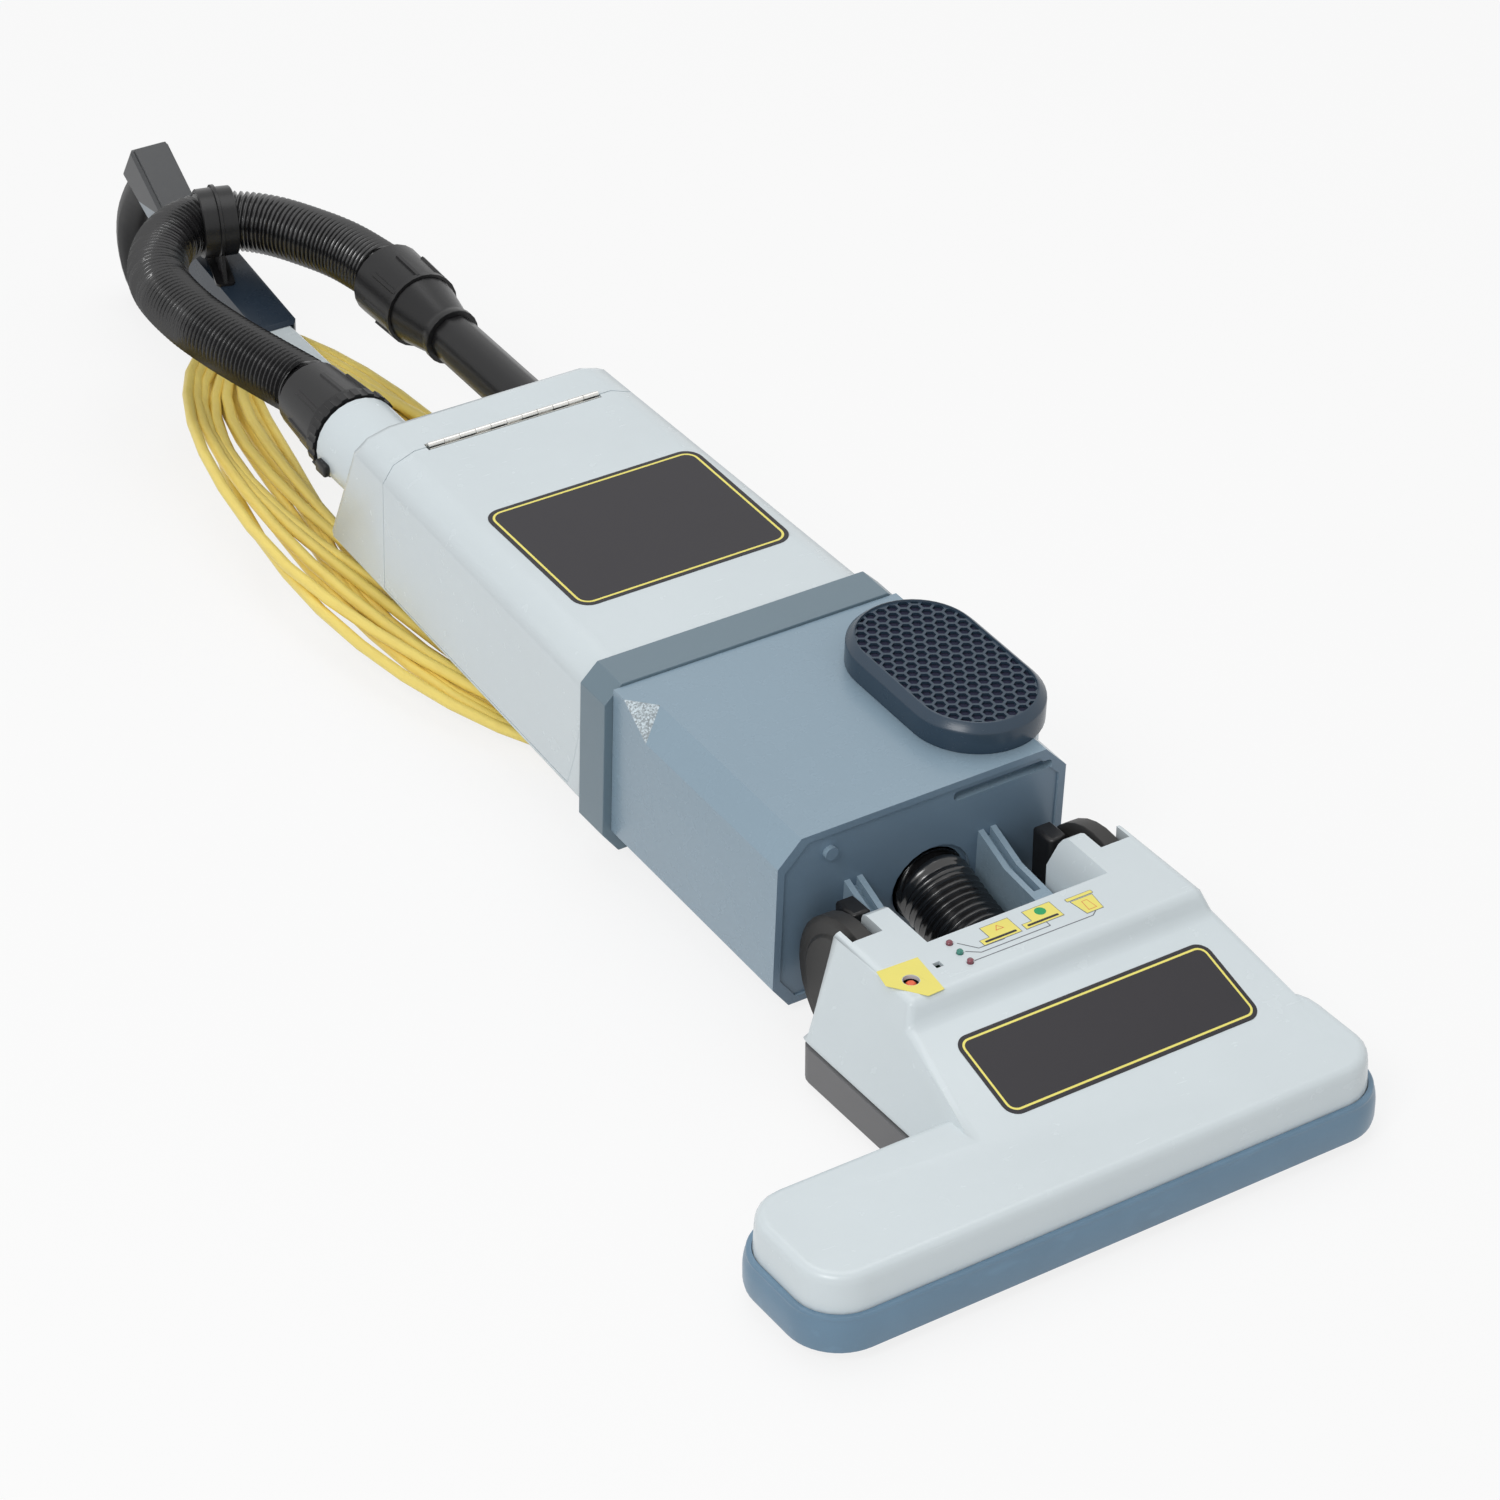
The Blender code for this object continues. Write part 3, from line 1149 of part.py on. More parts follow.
hinge_slot = box(
    BODY, (-HINGE_HALF - MM, SEAM_Y - HINGE_SLOT, HINGE_Z - HINGE_DEEP),
    (HINGE_HALF + MM, SEAM_Y + HINGE_SLOT, HINGE_Z + PAST))
tub = bag_form(0, DOOR_LOW, TOP_BACK, True)
join(tub, cylinder(
    BODY, "Y", (PORT_X, PORT_Z), SEAM_Y + PAST / 2, PORT_END, PORT_BOSS, 28))
cut(tub, bag_form(BAG_WALL, BAND_END - PAST, COMPARTMENT_TOP), door_region(GAP), hinge_slot)
cut(tub, box(
    BODY, (-STEM_WIDTH / 2 - GAP, STEM_FOOT - GAP, STEM_LOW - GAP),
    (STEM_WIDTH / 2 + GAP, TOP_BACK + PAST, STEM_HIGH + GAP)))
cut(tub, cylinder(
    BODY, "Y", (PORT_X, PORT_Z), COMPARTMENT_TOP - PAST, PORT_END + PAST, PORT_BORE, 24))
cut(tub, cylinder(
    BODY, "Y", (WAND_X, PORT_Z), COMPARTMENT_TOP - PAST, PORT_END + PAST, WAND_RADIUS + GAP, 24))
cut(tub, cylinder(
    BODY, "Y", (PORT_X, PORT_Z), PORT_END - RING_SKIRT_LENGTH - RING_TRAVEL - GAP, PORT_END + PAST,
    RING_SKIRT + RUNNING, 28))
part(tub, "bag_housing", LIGHT_GREY, 0.42)

door = bag_form(0, DOOR_LOW, SEAM_Y)
boolean(door, [door_region(0)], "INTERSECT")
cut(door, bag_form(BAG_WALL, BAND_END - PAST, SEAM_Y + PAST), hinge_slot)
door.parent = DOOR
door.location = (0, -SEAM_Y, -HINGE_Z)
part(door, "bag_door", LIGHT_GREY, 0.42)

KNUCKLE_STEP = 2 * HINGE_HALF / KNUCKLE_COUNT


def hinge_leaf(parent, side, first):
    """One leaf: a strip on its edge of the slot with every other knuckle on it."""
    edge = side * (HINGE_SLOT - GAP)
    ends = sorted((edge, edge - side * LEAF_THICK))
    strip = box(
        parent, (-HINGE_HALF, ends[0], -HINGE_DEEP + GAP), (HINGE_HALF, ends[1], -MM / 2))
    for index in range(first, KNUCKLE_COUNT, 2):
        low = -HINGE_HALF + KNUCKLE_STEP * index + GAP / 2
        high = low + KNUCKLE_STEP - GAP
        tongue = sorted((edge - side * LEAF_THICK / 2, 0))
        join(strip, cylinder(parent, "X", (0, 0), low, high, KNUCKLE_RADIUS, 12), box(
            parent, (low, tongue[0], -2.2 * MM), (high, tongue[1], -1.7 * MM)))
    return strip


FIXED = frame_empty("hinge_line", (0, SEAM_Y, HINGE_Z), parent=BODY)
fixed_leaf = hinge_leaf(FIXED, 1, 0)
join(fixed_leaf, cylinder(FIXED, "X", (0, 0), -HINGE_HALF, HINGE_HALF, HINGE_PIN, 12))
part(fixed_leaf, "hinge_leaf_fixed", STEEL, 0.25, 1)
door_leaf = hinge_leaf(DOOR, -1, 1)
cut(door_leaf, cylinder(
    DOOR, "X", (0, 0), -2 * HINGE_HALF, 2 * HINGE_HALF, HINGE_PIN + RUNNING, 12))
part(door_leaf, "hinge_leaf_door", STEEL, 0.25, 1)

COLLAR_TOP = SEAM_Y - GAP / 2
collar = plate(BODY, "Y", [
    rounded(PORT_X - COLLAR_HALF, PORT_X + COLLAR_HALF, PORT_Z - COLLAR_HALF,
            PORT_Z + COLLAR_HALF, 8 * MM, 3),
    circle((PORT_X, PORT_Z), PORT_BORE, 20)], COLLAR_TOP - COLLAR_THICK, COLLAR_TOP)
part(collar, "bag_collar", PAPER, 0.8)
bag = box(
    BODY, (BAG_LEFT, BAG_LOW, BAG_DEEP),
    (BAG_RIGHT, COLLAR_TOP - COLLAR_THICK - GAP, BAG_SHALLOW))
part(bevel(bag, BAG_ROUND, 2, 60), "filter_bag", PAPER, 0.9)

# Body: hose port, stretch hose and wand

RING_FOOT = PORT_END + GAP + RING_TRAVEL
RING_TOP = RING_FOOT + RING_LENGTH
teeth = []
for index in range(2 * RING_TEETH):
    start = 180 * index / RING_TEETH
    radius = RING_RADIUS if index % 2 else RING_RADIUS - RIB_HIGH
    teeth += arc((PORT_X, PORT_Z), radius, start, start + 180 / RING_TEETH - 1, 1)
release_ring = plate(
    BODY, "Y", [teeth, circle((PORT_X, PORT_Z), PORT_BORE)], RING_FOOT, RING_TOP)
join(release_ring, plate(
    BODY, "Y", [circle((PORT_X, PORT_Z), RING_SKIRT, 28), circle((PORT_X, PORT_Z), PORT_BORE)],
    PORT_END - RING_SKIRT_LENGTH, RING_FOOT + MM))
part(release_ring, "release_ring", BLACK, 0.5)


def ribbed_cuff(centre, foot, top, foot_radius, top_radius):
    """A cuff that tapers between its two ends, with a rim at its foot and straight ribs along it."""
    rim = foot_radius + RIB_HIGH
    cuff = turned(BODY, "Y", centre, [
        (0, top), (top_radius - MM, top), (top_radius, top - MM), (foot_radius, foot + CUFF_RIM),
        (rim, foot + CUFF_RIM - MM), (rim, foot), (0, foot)], 24)
    ribbed = []
    for index in range(CUFF_RIBS):
        start = 360 * index / CUFF_RIBS
        ribbed += arc((0, 0), foot_radius + RIB_HIGH, start, start + 5, 1)
        ribbed += arc((0, 0), foot_radius - RIB_HIGH, start + 8, start + 360 / CUFF_RIBS - 3, 2)
    low = foot + CUFF_RIM / 2
    shape = plate_shape("Y", [ribbed], low, low + (top - foot) * 0.6)
    for vertex in shape.verts:
        share = (vertex.co.y - foot) / (top - foot)
        slim = 1 + share * (top_radius / foot_radius - 1)
        vertex.co.x = centre[0] + vertex.co.x * slim
        vertex.co.z = centre[1] + vertex.co.z * slim
    return join(cuff, shape_object("ribs", shape, BODY))


port_cuff = ribbed_cuff(
    (PORT_X, PORT_Z), RING_TOP + GAP, CUFF_END, CUFF_RADIUS - RIB_HIGH, CUFF_NECK - RIB_HIGH)
part(port_cuff, "port_cuff", BLACK, 0.55)

HOSE_ROUTE = (
    (PORT_X, CUFF_END + GAP), (PORT_X, CUFF_END + 6 * MM), (PORT_X, CUFF_END + 12 * MM),
    (-66 * MM, 700 * MM), (-76 * MM, 745 * MM), (-82 * MM, 790 * MM), (-80 * MM, 835 * MM),
    (-66 * MM, 868 * MM), (-44 * MM, 892 * MM), (-18 * MM, 902 * MM), (6 * MM, 895 * MM),
    (28 * MM, 875 * MM), (45 * MM, 845 * MM), (57 * MM, 815 * MM),
    (WAND_X, WAND_CUFF_TOP + 14 * MM), (WAND_X, WAND_CUFF_TOP + 7 * MM),
    (WAND_X, WAND_CUFF_TOP + GAP))
hose_line = smooth_route([(x, y, PORT_Z) for x, y in HOSE_ROUTE], 2)
part(tube(BODY, hose_line, HOSE_RADIUS, 3), "stretch_hose", BLACK, 0.6)

wand_cuff = ribbed_cuff(
    (WAND_X, PORT_Z), ADAPTER_TOP + GAP, WAND_CUFF_TOP, CUFF_RADIUS - 3 * RIB_HIGH,
    CUFF_RADIUS - 2 * RIB_HIGH)
part(wand_cuff, "wand_cuff", BLACK, 0.55)
ADAPTER_FOOT = WAND_TOP + GAP
adapter = turned(BODY, "Y", (WAND_X, PORT_Z), [
    (0, ADAPTER_TOP), (ADAPTER_HIGH_RADIUS, ADAPTER_TOP),
    (ADAPTER_LOW_RADIUS, ADAPTER_FOOT + 2 * CUFF_RIM),
    (ADAPTER_LOW_RADIUS + RIB_HIGH, ADAPTER_FOOT + CUFF_RIM),
    (ADAPTER_LOW_RADIUS + RIB_HIGH, ADAPTER_FOOT), (0, ADAPTER_FOOT)], 24)
part(adapter, "wand_adapter", BLACK, 0.5)
wand = cylinder(
    BODY, "Y", (WAND_X, PORT_Z), RISER_TOP + 3 * MM, WAND_TOP, WAND_RADIUS, WAND_SIDES)
part(wand, "wand", BLACK, 0.5)

# Body: handle

stem = box(
    BODY, (-STEM_WIDTH / 2, STEM_FOOT, STEM_LOW), (STEM_WIDTH / 2, STEM_TOP, STEM_HIGH))
part(bevel(stem, 2 * MM, 1, 60), "handle_stem", LIGHT_GREY, 0.42)
grip_line = smooth_route([(0, y, z) for y, z in GRIP_ROUTE], 3)
grip_socket = tube(BODY, grip_line, GRIP_RADIUS + GAP, 3)
sleeve = plate(
    BODY, "X", [[(SLEEVE_FOOT, SLEEVE_FRONT), (SLEEVE_FOOT, SLEEVE_BACK), SLEEVE_TOP_BACK,
                 SLEEVE_TOP_FRONT]], -SLEEVE_WIDTH / 2, SLEEVE_WIDTH / 2)
bevel(sleeve, 2.5 * MM, 1, 60)
cut(sleeve, box(
    BODY, (-STEM_WIDTH / 2 - GAP, STEM_FOOT, STEM_LOW - GAP),
    (STEM_WIDTH / 2 + GAP, STEM_TOP + GAP, STEM_HIGH + GAP)), grip_socket)
part(sleeve, "handle_sleeve", SLEEVE_BLUE, 0.45)

shell_up = (Vector(SHELL_TOP_FRONT) - Vector(SLEEVE_TOP_FRONT)).normalized()
face_out = Vector((-shell_up.y, shell_up.x))
shell_foot_front = Vector(SLEEVE_TOP_FRONT) + shell_up * GAP * 1.2
shell_foot_back = Vector(SLEEVE_TOP_BACK) + shell_up * GAP * 1.2
shell = plate(
    BODY, "X", [[tuple(shell_foot_front), tuple(shell_foot_back), SHELL_TOP_BACK,
                 SHELL_TOP_FRONT]], -SHELL_WIDTH / 2, SHELL_WIDTH / 2)
bevel(shell, SHELL_ROUND, 1, 60)
cut(shell, grip_socket, box(
    BODY, (SHELL_WIDTH / 2 - SWITCH_DEEP, SWITCH_Y - SWITCH_HALF - MM, SWITCH_Z - SWITCH_HIGH / 2),
    (SHELL_WIDTH, SWITCH_Y + SWITCH_HALF + MM, SWITCH_Z + SWITCH_HIGH / 2)))
part(shell, "handle_shell", LIGHT_GREY, 0.45)
face_low = shell_foot_front + shell_up * SHELL_ROUND + face_out * GAP
face_high = Vector(SHELL_TOP_FRONT) - shell_up * SHELL_ROUND + face_out * GAP
face = plate(
    BODY, "X", [[tuple(face_low), tuple(face_high), tuple(face_high + face_out * FACE_THICK),
                 tuple(face_low + face_out * FACE_THICK)]],
    -SHELL_WIDTH / 2 + SHELL_ROUND, SHELL_WIDTH / 2 - SHELL_ROUND)
part(face, "handle_face", BLACK, 0.5)
part(tube(BODY, grip_line, GRIP_RADIUS, 3), "handle_grip", BLACK, 0.6)
SWITCH_FACE = SHELL_WIDTH / 2
SWITCH_AT = SWITCH_FACE - SWITCH_DEEP / 2
switch = plate(BODY, "Z", [[
    (SWITCH_FACE - SWITCH_DEEP / 3, SWITCH_Y - SWITCH_HALF),
    (SWITCH_FACE - SWITCH_DEEP / 3, SWITCH_Y + SWITCH_HALF),
    (SWITCH_FACE + 3 * MM, SWITCH_Y + SWITCH_HALF - MM), (SWITCH_FACE + MM, SWITCH_Y),
    (SWITCH_FACE + MM / 2, SWITCH_Y - SWITCH_HALF + MM)]],
    SWITCH_Z - SWITCH_HIGH / 2 + GAP, SWITCH_Z + SWITCH_HIGH / 2 - GAP,
    (SWITCH_AT, SWITCH_Y, SWITCH_Z))
part(switch, "power_switch", BLACK, 0.4)

SLEEVE_SLOPE = (SLEEVE_TOP_FRONT[1] - SLEEVE_FRONT) / (SLEEVE_TOP_FRONT[0] - SLEEVE_FOOT)
CLIP_HALF = 12 * MM
clip_foot = SLEEVE_FRONT + SLEEVE_SLOPE * (CLIP_Y - SLEEVE_FOOT) + GAP * 1.2
clip = plate(
    BODY, "X", [circle((0, 0), HOSE_RADIUS + GAP + CLIP_WALL)], -CLIP_WIDTH / 2, CLIP_WIDTH / 2)
clip.location = (CLIP_X, CLIP_Y, PORT_Z)
clip.rotation_euler = (0, 0, CLIP_TURN)
join(clip, plate(BODY, "X", [[
    (CLIP_Y - CLIP_HALF, clip_foot - CLIP_HALF * SLEEVE_SLOPE),
    (CLIP_Y + CLIP_HALF, clip_foot + CLIP_HALF * SLEEVE_SLOPE),
    (CLIP_Y + CLIP_HALF, PORT_Z), (CLIP_Y - CLIP_HALF, PORT_Z)]],
    CLIP_X - CLIP_WIDTH / 3, CLIP_X + CLIP_WIDTH / 3))
cut(clip, tube(BODY, hose_line, HOSE_RADIUS + GAP, 3))
cut(clip, plate(BODY, "X", [[
    (SLEEVE_FOOT, SLEEVE_FRONT + GAP), (SLEEVE_FOOT, SLEEVE_BACK), SLEEVE_TOP_BACK,
    (SLEEVE_TOP_FRONT[0], SLEEVE_TOP_FRONT[1] + GAP)]], -SLEEVE_WIDTH, SLEEVE_WIDTH))
part(clip, "hose_clip", BLACK, 0.5)

# Power cord and its hooks

BUNDLE = CORD_COLUMNS * CORD_DIAMETER
HANK_BACK = HANK_FRONT - CORD_LAYERS * CORD_DIAMETER


def hank_outline(inset, steps=16):
    """The wound cord's oval: a wider bow on the left than on the right."""
    points = []
    for index in range(2 * steps):
        turn = math.pi * index / steps
        across = HANK_RIGHT if index < steps else HANK_LEFT
        points.append((HANK_X + (across - inset) * math.sin(turn),
                       HANK_Y + (HANK_LONG - inset) * math.cos(turn)))
    return points


hank = plate(BODY, "Z", [hank_outline(0), hank_outline(BUNDLE)], HANK_BACK, HANK_FRONT)
part(bevel(hank, 3 * MM, 1, 60), "cord_hank", CORD_YELLOW, 0.5)


def cord_hook(name, post_at, root, towards):
    """A hook: a post down from the body and a lip past the back of the wound cord."""
    back = HANK_BACK - GAP
    ends = sorted((post_at, post_at - towards * HOOK_POST))
    lip = sorted((post_at - towards * HOOK_POST, post_at + towards * HOOK_LIP))
    hook = box(
        BODY, (HOOK_X - HOOK_POST / 2, ends[0], back - HOOK_THICK / 2),
        (HOOK_X + HOOK_POST / 2, ends[1], root - GAP))
    join(hook, box(
        BODY, (HOOK_X - HOOK_WIDTH / 2, lip[0], back - HOOK_THICK),
        (HOOK_X + HOOK_WIDTH / 2, lip[1], back)))
    return part(hook, name, BLACK, 0.5)


cord_hook("cord_hook_upper", HANK_Y + HANK_LONG - BUNDLE - HOOK_INSIDE, STEM_LOW, 1)
cord_hook("cord_hook_lower", HANK_Y - HANK_LONG + BUNDLE + HOOK_INSIDE, BAG_BACK, -1)

RELIEF_FOOT = TOP_FRONT + (TOP_BACK - TOP_FRONT) * (FRONT - RELIEF_Z) / (FRONT - BAG_BACK)
RELIEF_ROOT = RELIEF_FOOT - RELIEF_LENGTH / 2
RELIEF_TOP = RELIEF_FOOT + RELIEF_LENGTH
cut(tub, cylinder(
    BODY, "Y", (RELIEF_X, RELIEF_Z), RELIEF_ROOT - GAP, RELIEF_TOP + PAST,
    RELIEF_RADIUS + GAP, 16))
relief = cone(
    BODY, "Y", (RELIEF_X, RELIEF_Z), RELIEF_ROOT, RELIEF_TOP, RELIEF_RADIUS,
    CORD_DIAMETER * 0.6, 16)
part(relief, "strain_relief", BLACK, 0.6)
LIE = HANK_FRONT + GAP + CORD_DIAMETER / 2
LEAD_ROUTE = (
    (RELIEF_X, RELIEF_TOP + GAP, RELIEF_Z), (RELIEF_X, RELIEF_TOP + 30 * MM, RELIEF_Z),
    (RELIEF_X - MM, RELIEF_TOP + 65 * MM, LIE + 2 * MM),
    (RELIEF_X - 4 * MM, RELIEF_TOP + 100 * MM, LIE),
    (RELIEF_X - 10 * MM, RELIEF_TOP + 140 * MM, LIE))
part(tube(BODY, smooth_route(LEAD_ROUTE, 3), CORD_DIAMETER / 2, 2), "cord_lead", CORD_YELLOW, 0.5)

PLUG_Z = (HANK_FRONT + HANK_BACK) / 2
PLUG_NOSE = PLUG_Y - PLUG_LENGTH / 2
PLUG_END = PLUG_Y + PLUG_LENGTH / 2
plug = box(
    BODY, (PLUG_X - PLUG_WIDTH / 2, PLUG_NOSE, HANK_BACK),
    (PLUG_X + PLUG_WIDTH / 2, PLUG_END, HANK_FRONT))
bevel(plug, 3 * MM, 1, 60)
for side in (-1, 1):
    blade = PLUG_X + side * 6.35 * MM
    join(plug, box(
        BODY, (blade - 0.75 * MM, PLUG_NOSE - PLUG_PIN, PLUG_Z - 5 * MM),
        (blade + 0.75 * MM, PLUG_Y, PLUG_Z + MM)))
join(plug, cylinder(
    BODY, "Y", (PLUG_X, PLUG_Z + 4.5 * MM), PLUG_NOSE - PLUG_PIN - 3 * MM, PLUG_Y, 2.3 * MM, 12))
part(plug, "plug", CORD_YELLOW, 0.5)
BESIDE = BUNDLE + CORD_DIAMETER / 2 + GAP + 2 * MM
TAIL_ROUTE = [
    (PLUG_X, PLUG_END + GAP, PLUG_Z), (PLUG_X, PLUG_END + 24 * MM, PLUG_Z),
    (PLUG_X - 14 * MM, PLUG_END + 56 * MM, PLUG_Z)]
for turn in (1.33, 1.45, 1.57):
    TAIL_ROUTE.append((
        HANK_X - (HANK_LEFT - BESIDE) * math.sin(turn),
        HANK_Y - (HANK_LONG - BESIDE) * math.cos(turn), PLUG_Z))
part(tube(BODY, smooth_route(TAIL_ROUTE, 3), CORD_DIAMETER / 2, 2), "cord_tail", CORD_YELLOW, 0.5)

# Short hose between the head and the body, in the head's frame


def body_in_head(x, y, z):
    """A body point in the head's frame, with the body at rest."""
    along = PIVOT_TO_PLATE + y
    out = z - PIVOT_DEPTH
    return (BODY_X + x, PIVOT_Y + along * math.cos(REST_TILT) - out * math.sin(REST_TILT),
            PIVOT_Z + along * math.sin(REST_TILT) + out * math.cos(REST_TILT))


NECK_ROUTE = (
    (DUCT_X, DUCT_REAR + GAP, HOSE_END_Z), (DUCT_X, NOTCH_FRONT, HOSE_END_Z),
    (DUCT_X, NOTCH_FRONT + 8 * MM, HOSE_END_Z),
    body_in_head(HOSE_HOLE_X, -34 * MM, HOSE_HOLE_Z - 8 * MM),
    body_in_head(HOSE_HOLE_X, -6 * MM, HOSE_HOLE_Z),
    body_in_head(HOSE_HOLE_X, 2 * MM, HOSE_HOLE_Z),
    body_in_head(HOSE_HOLE_X, RISER_LOW - 12 * GAP, HOSE_HOLE_Z))
neck_hose = tube(HEAD, smooth_route(NECK_ROUTE, 2), NECK_HOSE_RADIUS, 3)
part(neck_hose, "neck_hose", BLACK, 0.6)
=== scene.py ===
"""Looks of the upright vacuum cleaner: finishes, corrugated hoses, wound cord, labels and bristles.

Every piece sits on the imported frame. HEAD and BODY turn places in millimetres, on the cleaning
head and on the tilted body, into the row frame's metres.
"""
import math

import bmesh
import bpy
from mathutils import Matrix, Vector


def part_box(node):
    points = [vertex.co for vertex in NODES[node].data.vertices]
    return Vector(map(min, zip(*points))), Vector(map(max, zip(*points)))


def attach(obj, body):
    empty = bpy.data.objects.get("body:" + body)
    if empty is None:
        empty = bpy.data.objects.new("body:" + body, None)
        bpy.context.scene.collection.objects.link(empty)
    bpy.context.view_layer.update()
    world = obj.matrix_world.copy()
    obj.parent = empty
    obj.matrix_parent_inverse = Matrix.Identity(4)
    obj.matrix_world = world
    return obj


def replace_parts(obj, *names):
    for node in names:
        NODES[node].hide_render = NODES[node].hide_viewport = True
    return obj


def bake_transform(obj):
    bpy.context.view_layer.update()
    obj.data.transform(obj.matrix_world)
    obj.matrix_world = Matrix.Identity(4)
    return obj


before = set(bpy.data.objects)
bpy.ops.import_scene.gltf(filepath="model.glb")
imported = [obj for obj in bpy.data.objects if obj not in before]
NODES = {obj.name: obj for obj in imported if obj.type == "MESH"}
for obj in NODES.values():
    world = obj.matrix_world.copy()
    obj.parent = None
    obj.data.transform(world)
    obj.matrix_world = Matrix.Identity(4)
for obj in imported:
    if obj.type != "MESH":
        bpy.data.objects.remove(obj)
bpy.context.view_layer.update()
SCENE = bpy.context.scene


def in_scene(name, data):
    made = bpy.data.objects.new(name, data)
    SCENE.collection.objects.link(made)
    return made


# Places

QUARTER_TURN = math.pi / 2
REST_TILT = math.radians(3.27)
PIVOT_ON_HEAD = (60, 218, 52)
BODY_FROM_PIVOT = (0, 67.4, -55.9)
HEAD = Matrix.Translation((0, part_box("bumper")[0].y, 0)) @ Matrix.Scale(0.001, 4)
PIVOT = Matrix.Translation(PIVOT_ON_HEAD) @ Matrix.Rotation(REST_TILT, 4, "X")
BODY = HEAD @ PIVOT @ Matrix.Translation(BODY_FROM_PIVOT)


def on_head(point):
    return HEAD.inverted() @ point


def on_body(point):
    return BODY.inverted() @ point


def slope(rise, run, near, height):
    """Lifts a flat drawing onto a face that rises towards the rear from a line at that height."""
    lifted = Matrix.Identity(4)
    lifted[2][1] = rise / run
    lifted[2][3] = height - near * rise / run
    return HEAD @ lifted


HOOD_FACE = slope(rise=24, run=82, near=66, height=57.05)
PANEL_FACE = slope(rise=2, run=88, near=153, height=95.05)
DOOR_FACE = BODY @ Matrix.Translation((0, 0, 131.05))

# Camera, at the photograph's angle

camera = in_scene("camera", bpy.data.cameras.new("camera"))
camera.data.lens = 112.8
camera.location = HEAD @ Vector((-1281.9, -1603.9, 1675.3))
camera.rotation_euler = (math.radians(90 - 33.22), 0, math.radians(-32.87))
SCENE.camera = camera
SCENE.view_settings.view_transform = "Standard"

# Shader values and materials


class Value:
    """A shader output that takes part in Python arithmetic: each step adds a Math node."""

    def __init__(self, finish, socket):
        self.finish = finish
        self.socket = socket

    def step(self, operation, first, second):
        return self.finish.node("Math", {"operation": operation}, {0: first, 1: second})

    def __add__(self, other):
        return self.step("ADD", self, other)

    def __radd__(self, other):
        return self.step("ADD", other, self)

    def __sub__(self, other):
        return self.step("SUBTRACT", self, other)

    def __rsub__(self, other):
        return self.step("SUBTRACT", other, self)

    def __mul__(self, other):
        return self.step("MULTIPLY", self, other)

    def __rmul__(self, other):
        return self.step("MULTIPLY", other, self)


class Finish:
    """One material: a Principled shader, and the nodes that vary it over the surface."""

    def __init__(self, name, **constants):
        self.material = bpy.data.materials.new(name)
        self.material.use_nodes = True
        self.tree = self.material.node_tree
        self.shader = self.tree.nodes["Principled BSDF"]
        self.place = self.node("TexCoord", output="Object")
        for socket, value in constants.items():
            self.shader.inputs[socket.replace("_", " ")].default_value = value

    def node(self, kind, settings=(), inputs=(), output=0):
        """A node of a kind, its settings made first, then its sockets' values or links."""
        made = self.tree.nodes.new("ShaderNode" + kind)
        for key, value in dict(settings).items():
            setattr(made, key, value)
        for key, value in dict(inputs).items():
            self.feed(made.inputs[key], value)
        return Value(self, made.outputs[output])

    def feed(self, socket, value):
        if isinstance(value, Value):
            self.tree.links.new(value.socket, socket)
        else:
            socket.default_value = value

    def vary(self, socket, value):
        self.feed(self.shader.inputs[socket], value)

    def noise(self, scale, detail, stretch=(1, 1, 1), distortion=0.0):
        """Noise with so many features a metre, drawn out along the axes with a low stretch."""
        place = self.place
        if stretch != (1, 1, 1):
            place = self.node("Mapping", inputs={"Vector": place, "Scale": stretch})
        return self.node("TexNoise", inputs={
            "Vector": place, "Scale": scale, "Detail": detail, "Distortion": distortion})

    def between(self, value, low, high):
        """0 below the low value, 1 above the high one."""
        return self.node("MapRange", inputs={
            "Value": value, "From Min": low, "From Max": high})

    def mix(self, factor, first, second):
        return self.node(
            "Mix", {"data_type": "RGBA"}, {0: factor, 6: first, 7: second}, output=2)

    def bump(self, height, distance):
        self.vary("Normal", self.node("Bump", inputs={
            "Height": height, "Distance": distance, "Strength": 1.0}))


def shade(colour, amount):
    return (*[min(1.0, channel * amount) for channel in colour], 1.0)


def moulded(name, colour, roughness, grain=0.00004, **constants):
    """Moulded plastic: a fine even grain, slight clouding in the colour, a few faint scuffs."""
    finish = Finish(name, **constants)
    cloud = finish.noise(9, 3)
    blotch = finish.noise(70, 4)
    grit = finish.noise(2600, 2)
    scuff = finish.between(finish.noise(60, 5, (1, 7, 7), 0.6), 0.66, 0.78)
    base = finish.mix(cloud * 0.8 + blotch * 0.2, shade(colour, 0.95), shade(colour, 1.04))
    finish.vary("Base Color", finish.mix(scuff * 0.03, base, shade(colour, 1.25)))
    finish.vary("Roughness", roughness - 0.04 + blotch * 0.08 + scuff * 0.03)
    finish.bump(grit + blotch * 0.3, grain)
    return finish.material


def frosted(name, colour):
    """A coarse sparkling grain, as a textured mould leaves it."""
    finish = Finish(name, Roughness=0.3)
    grains = finish.noise(700, 2, distortion=0.5)
    finish.vary("Base Color", finish.mix(
        finish.between(grains, 0.4, 0.62), shade(colour, 0.62), shade(colour, 1.4)))
    finish.bump(grains, 0.0006)
    return finish.material


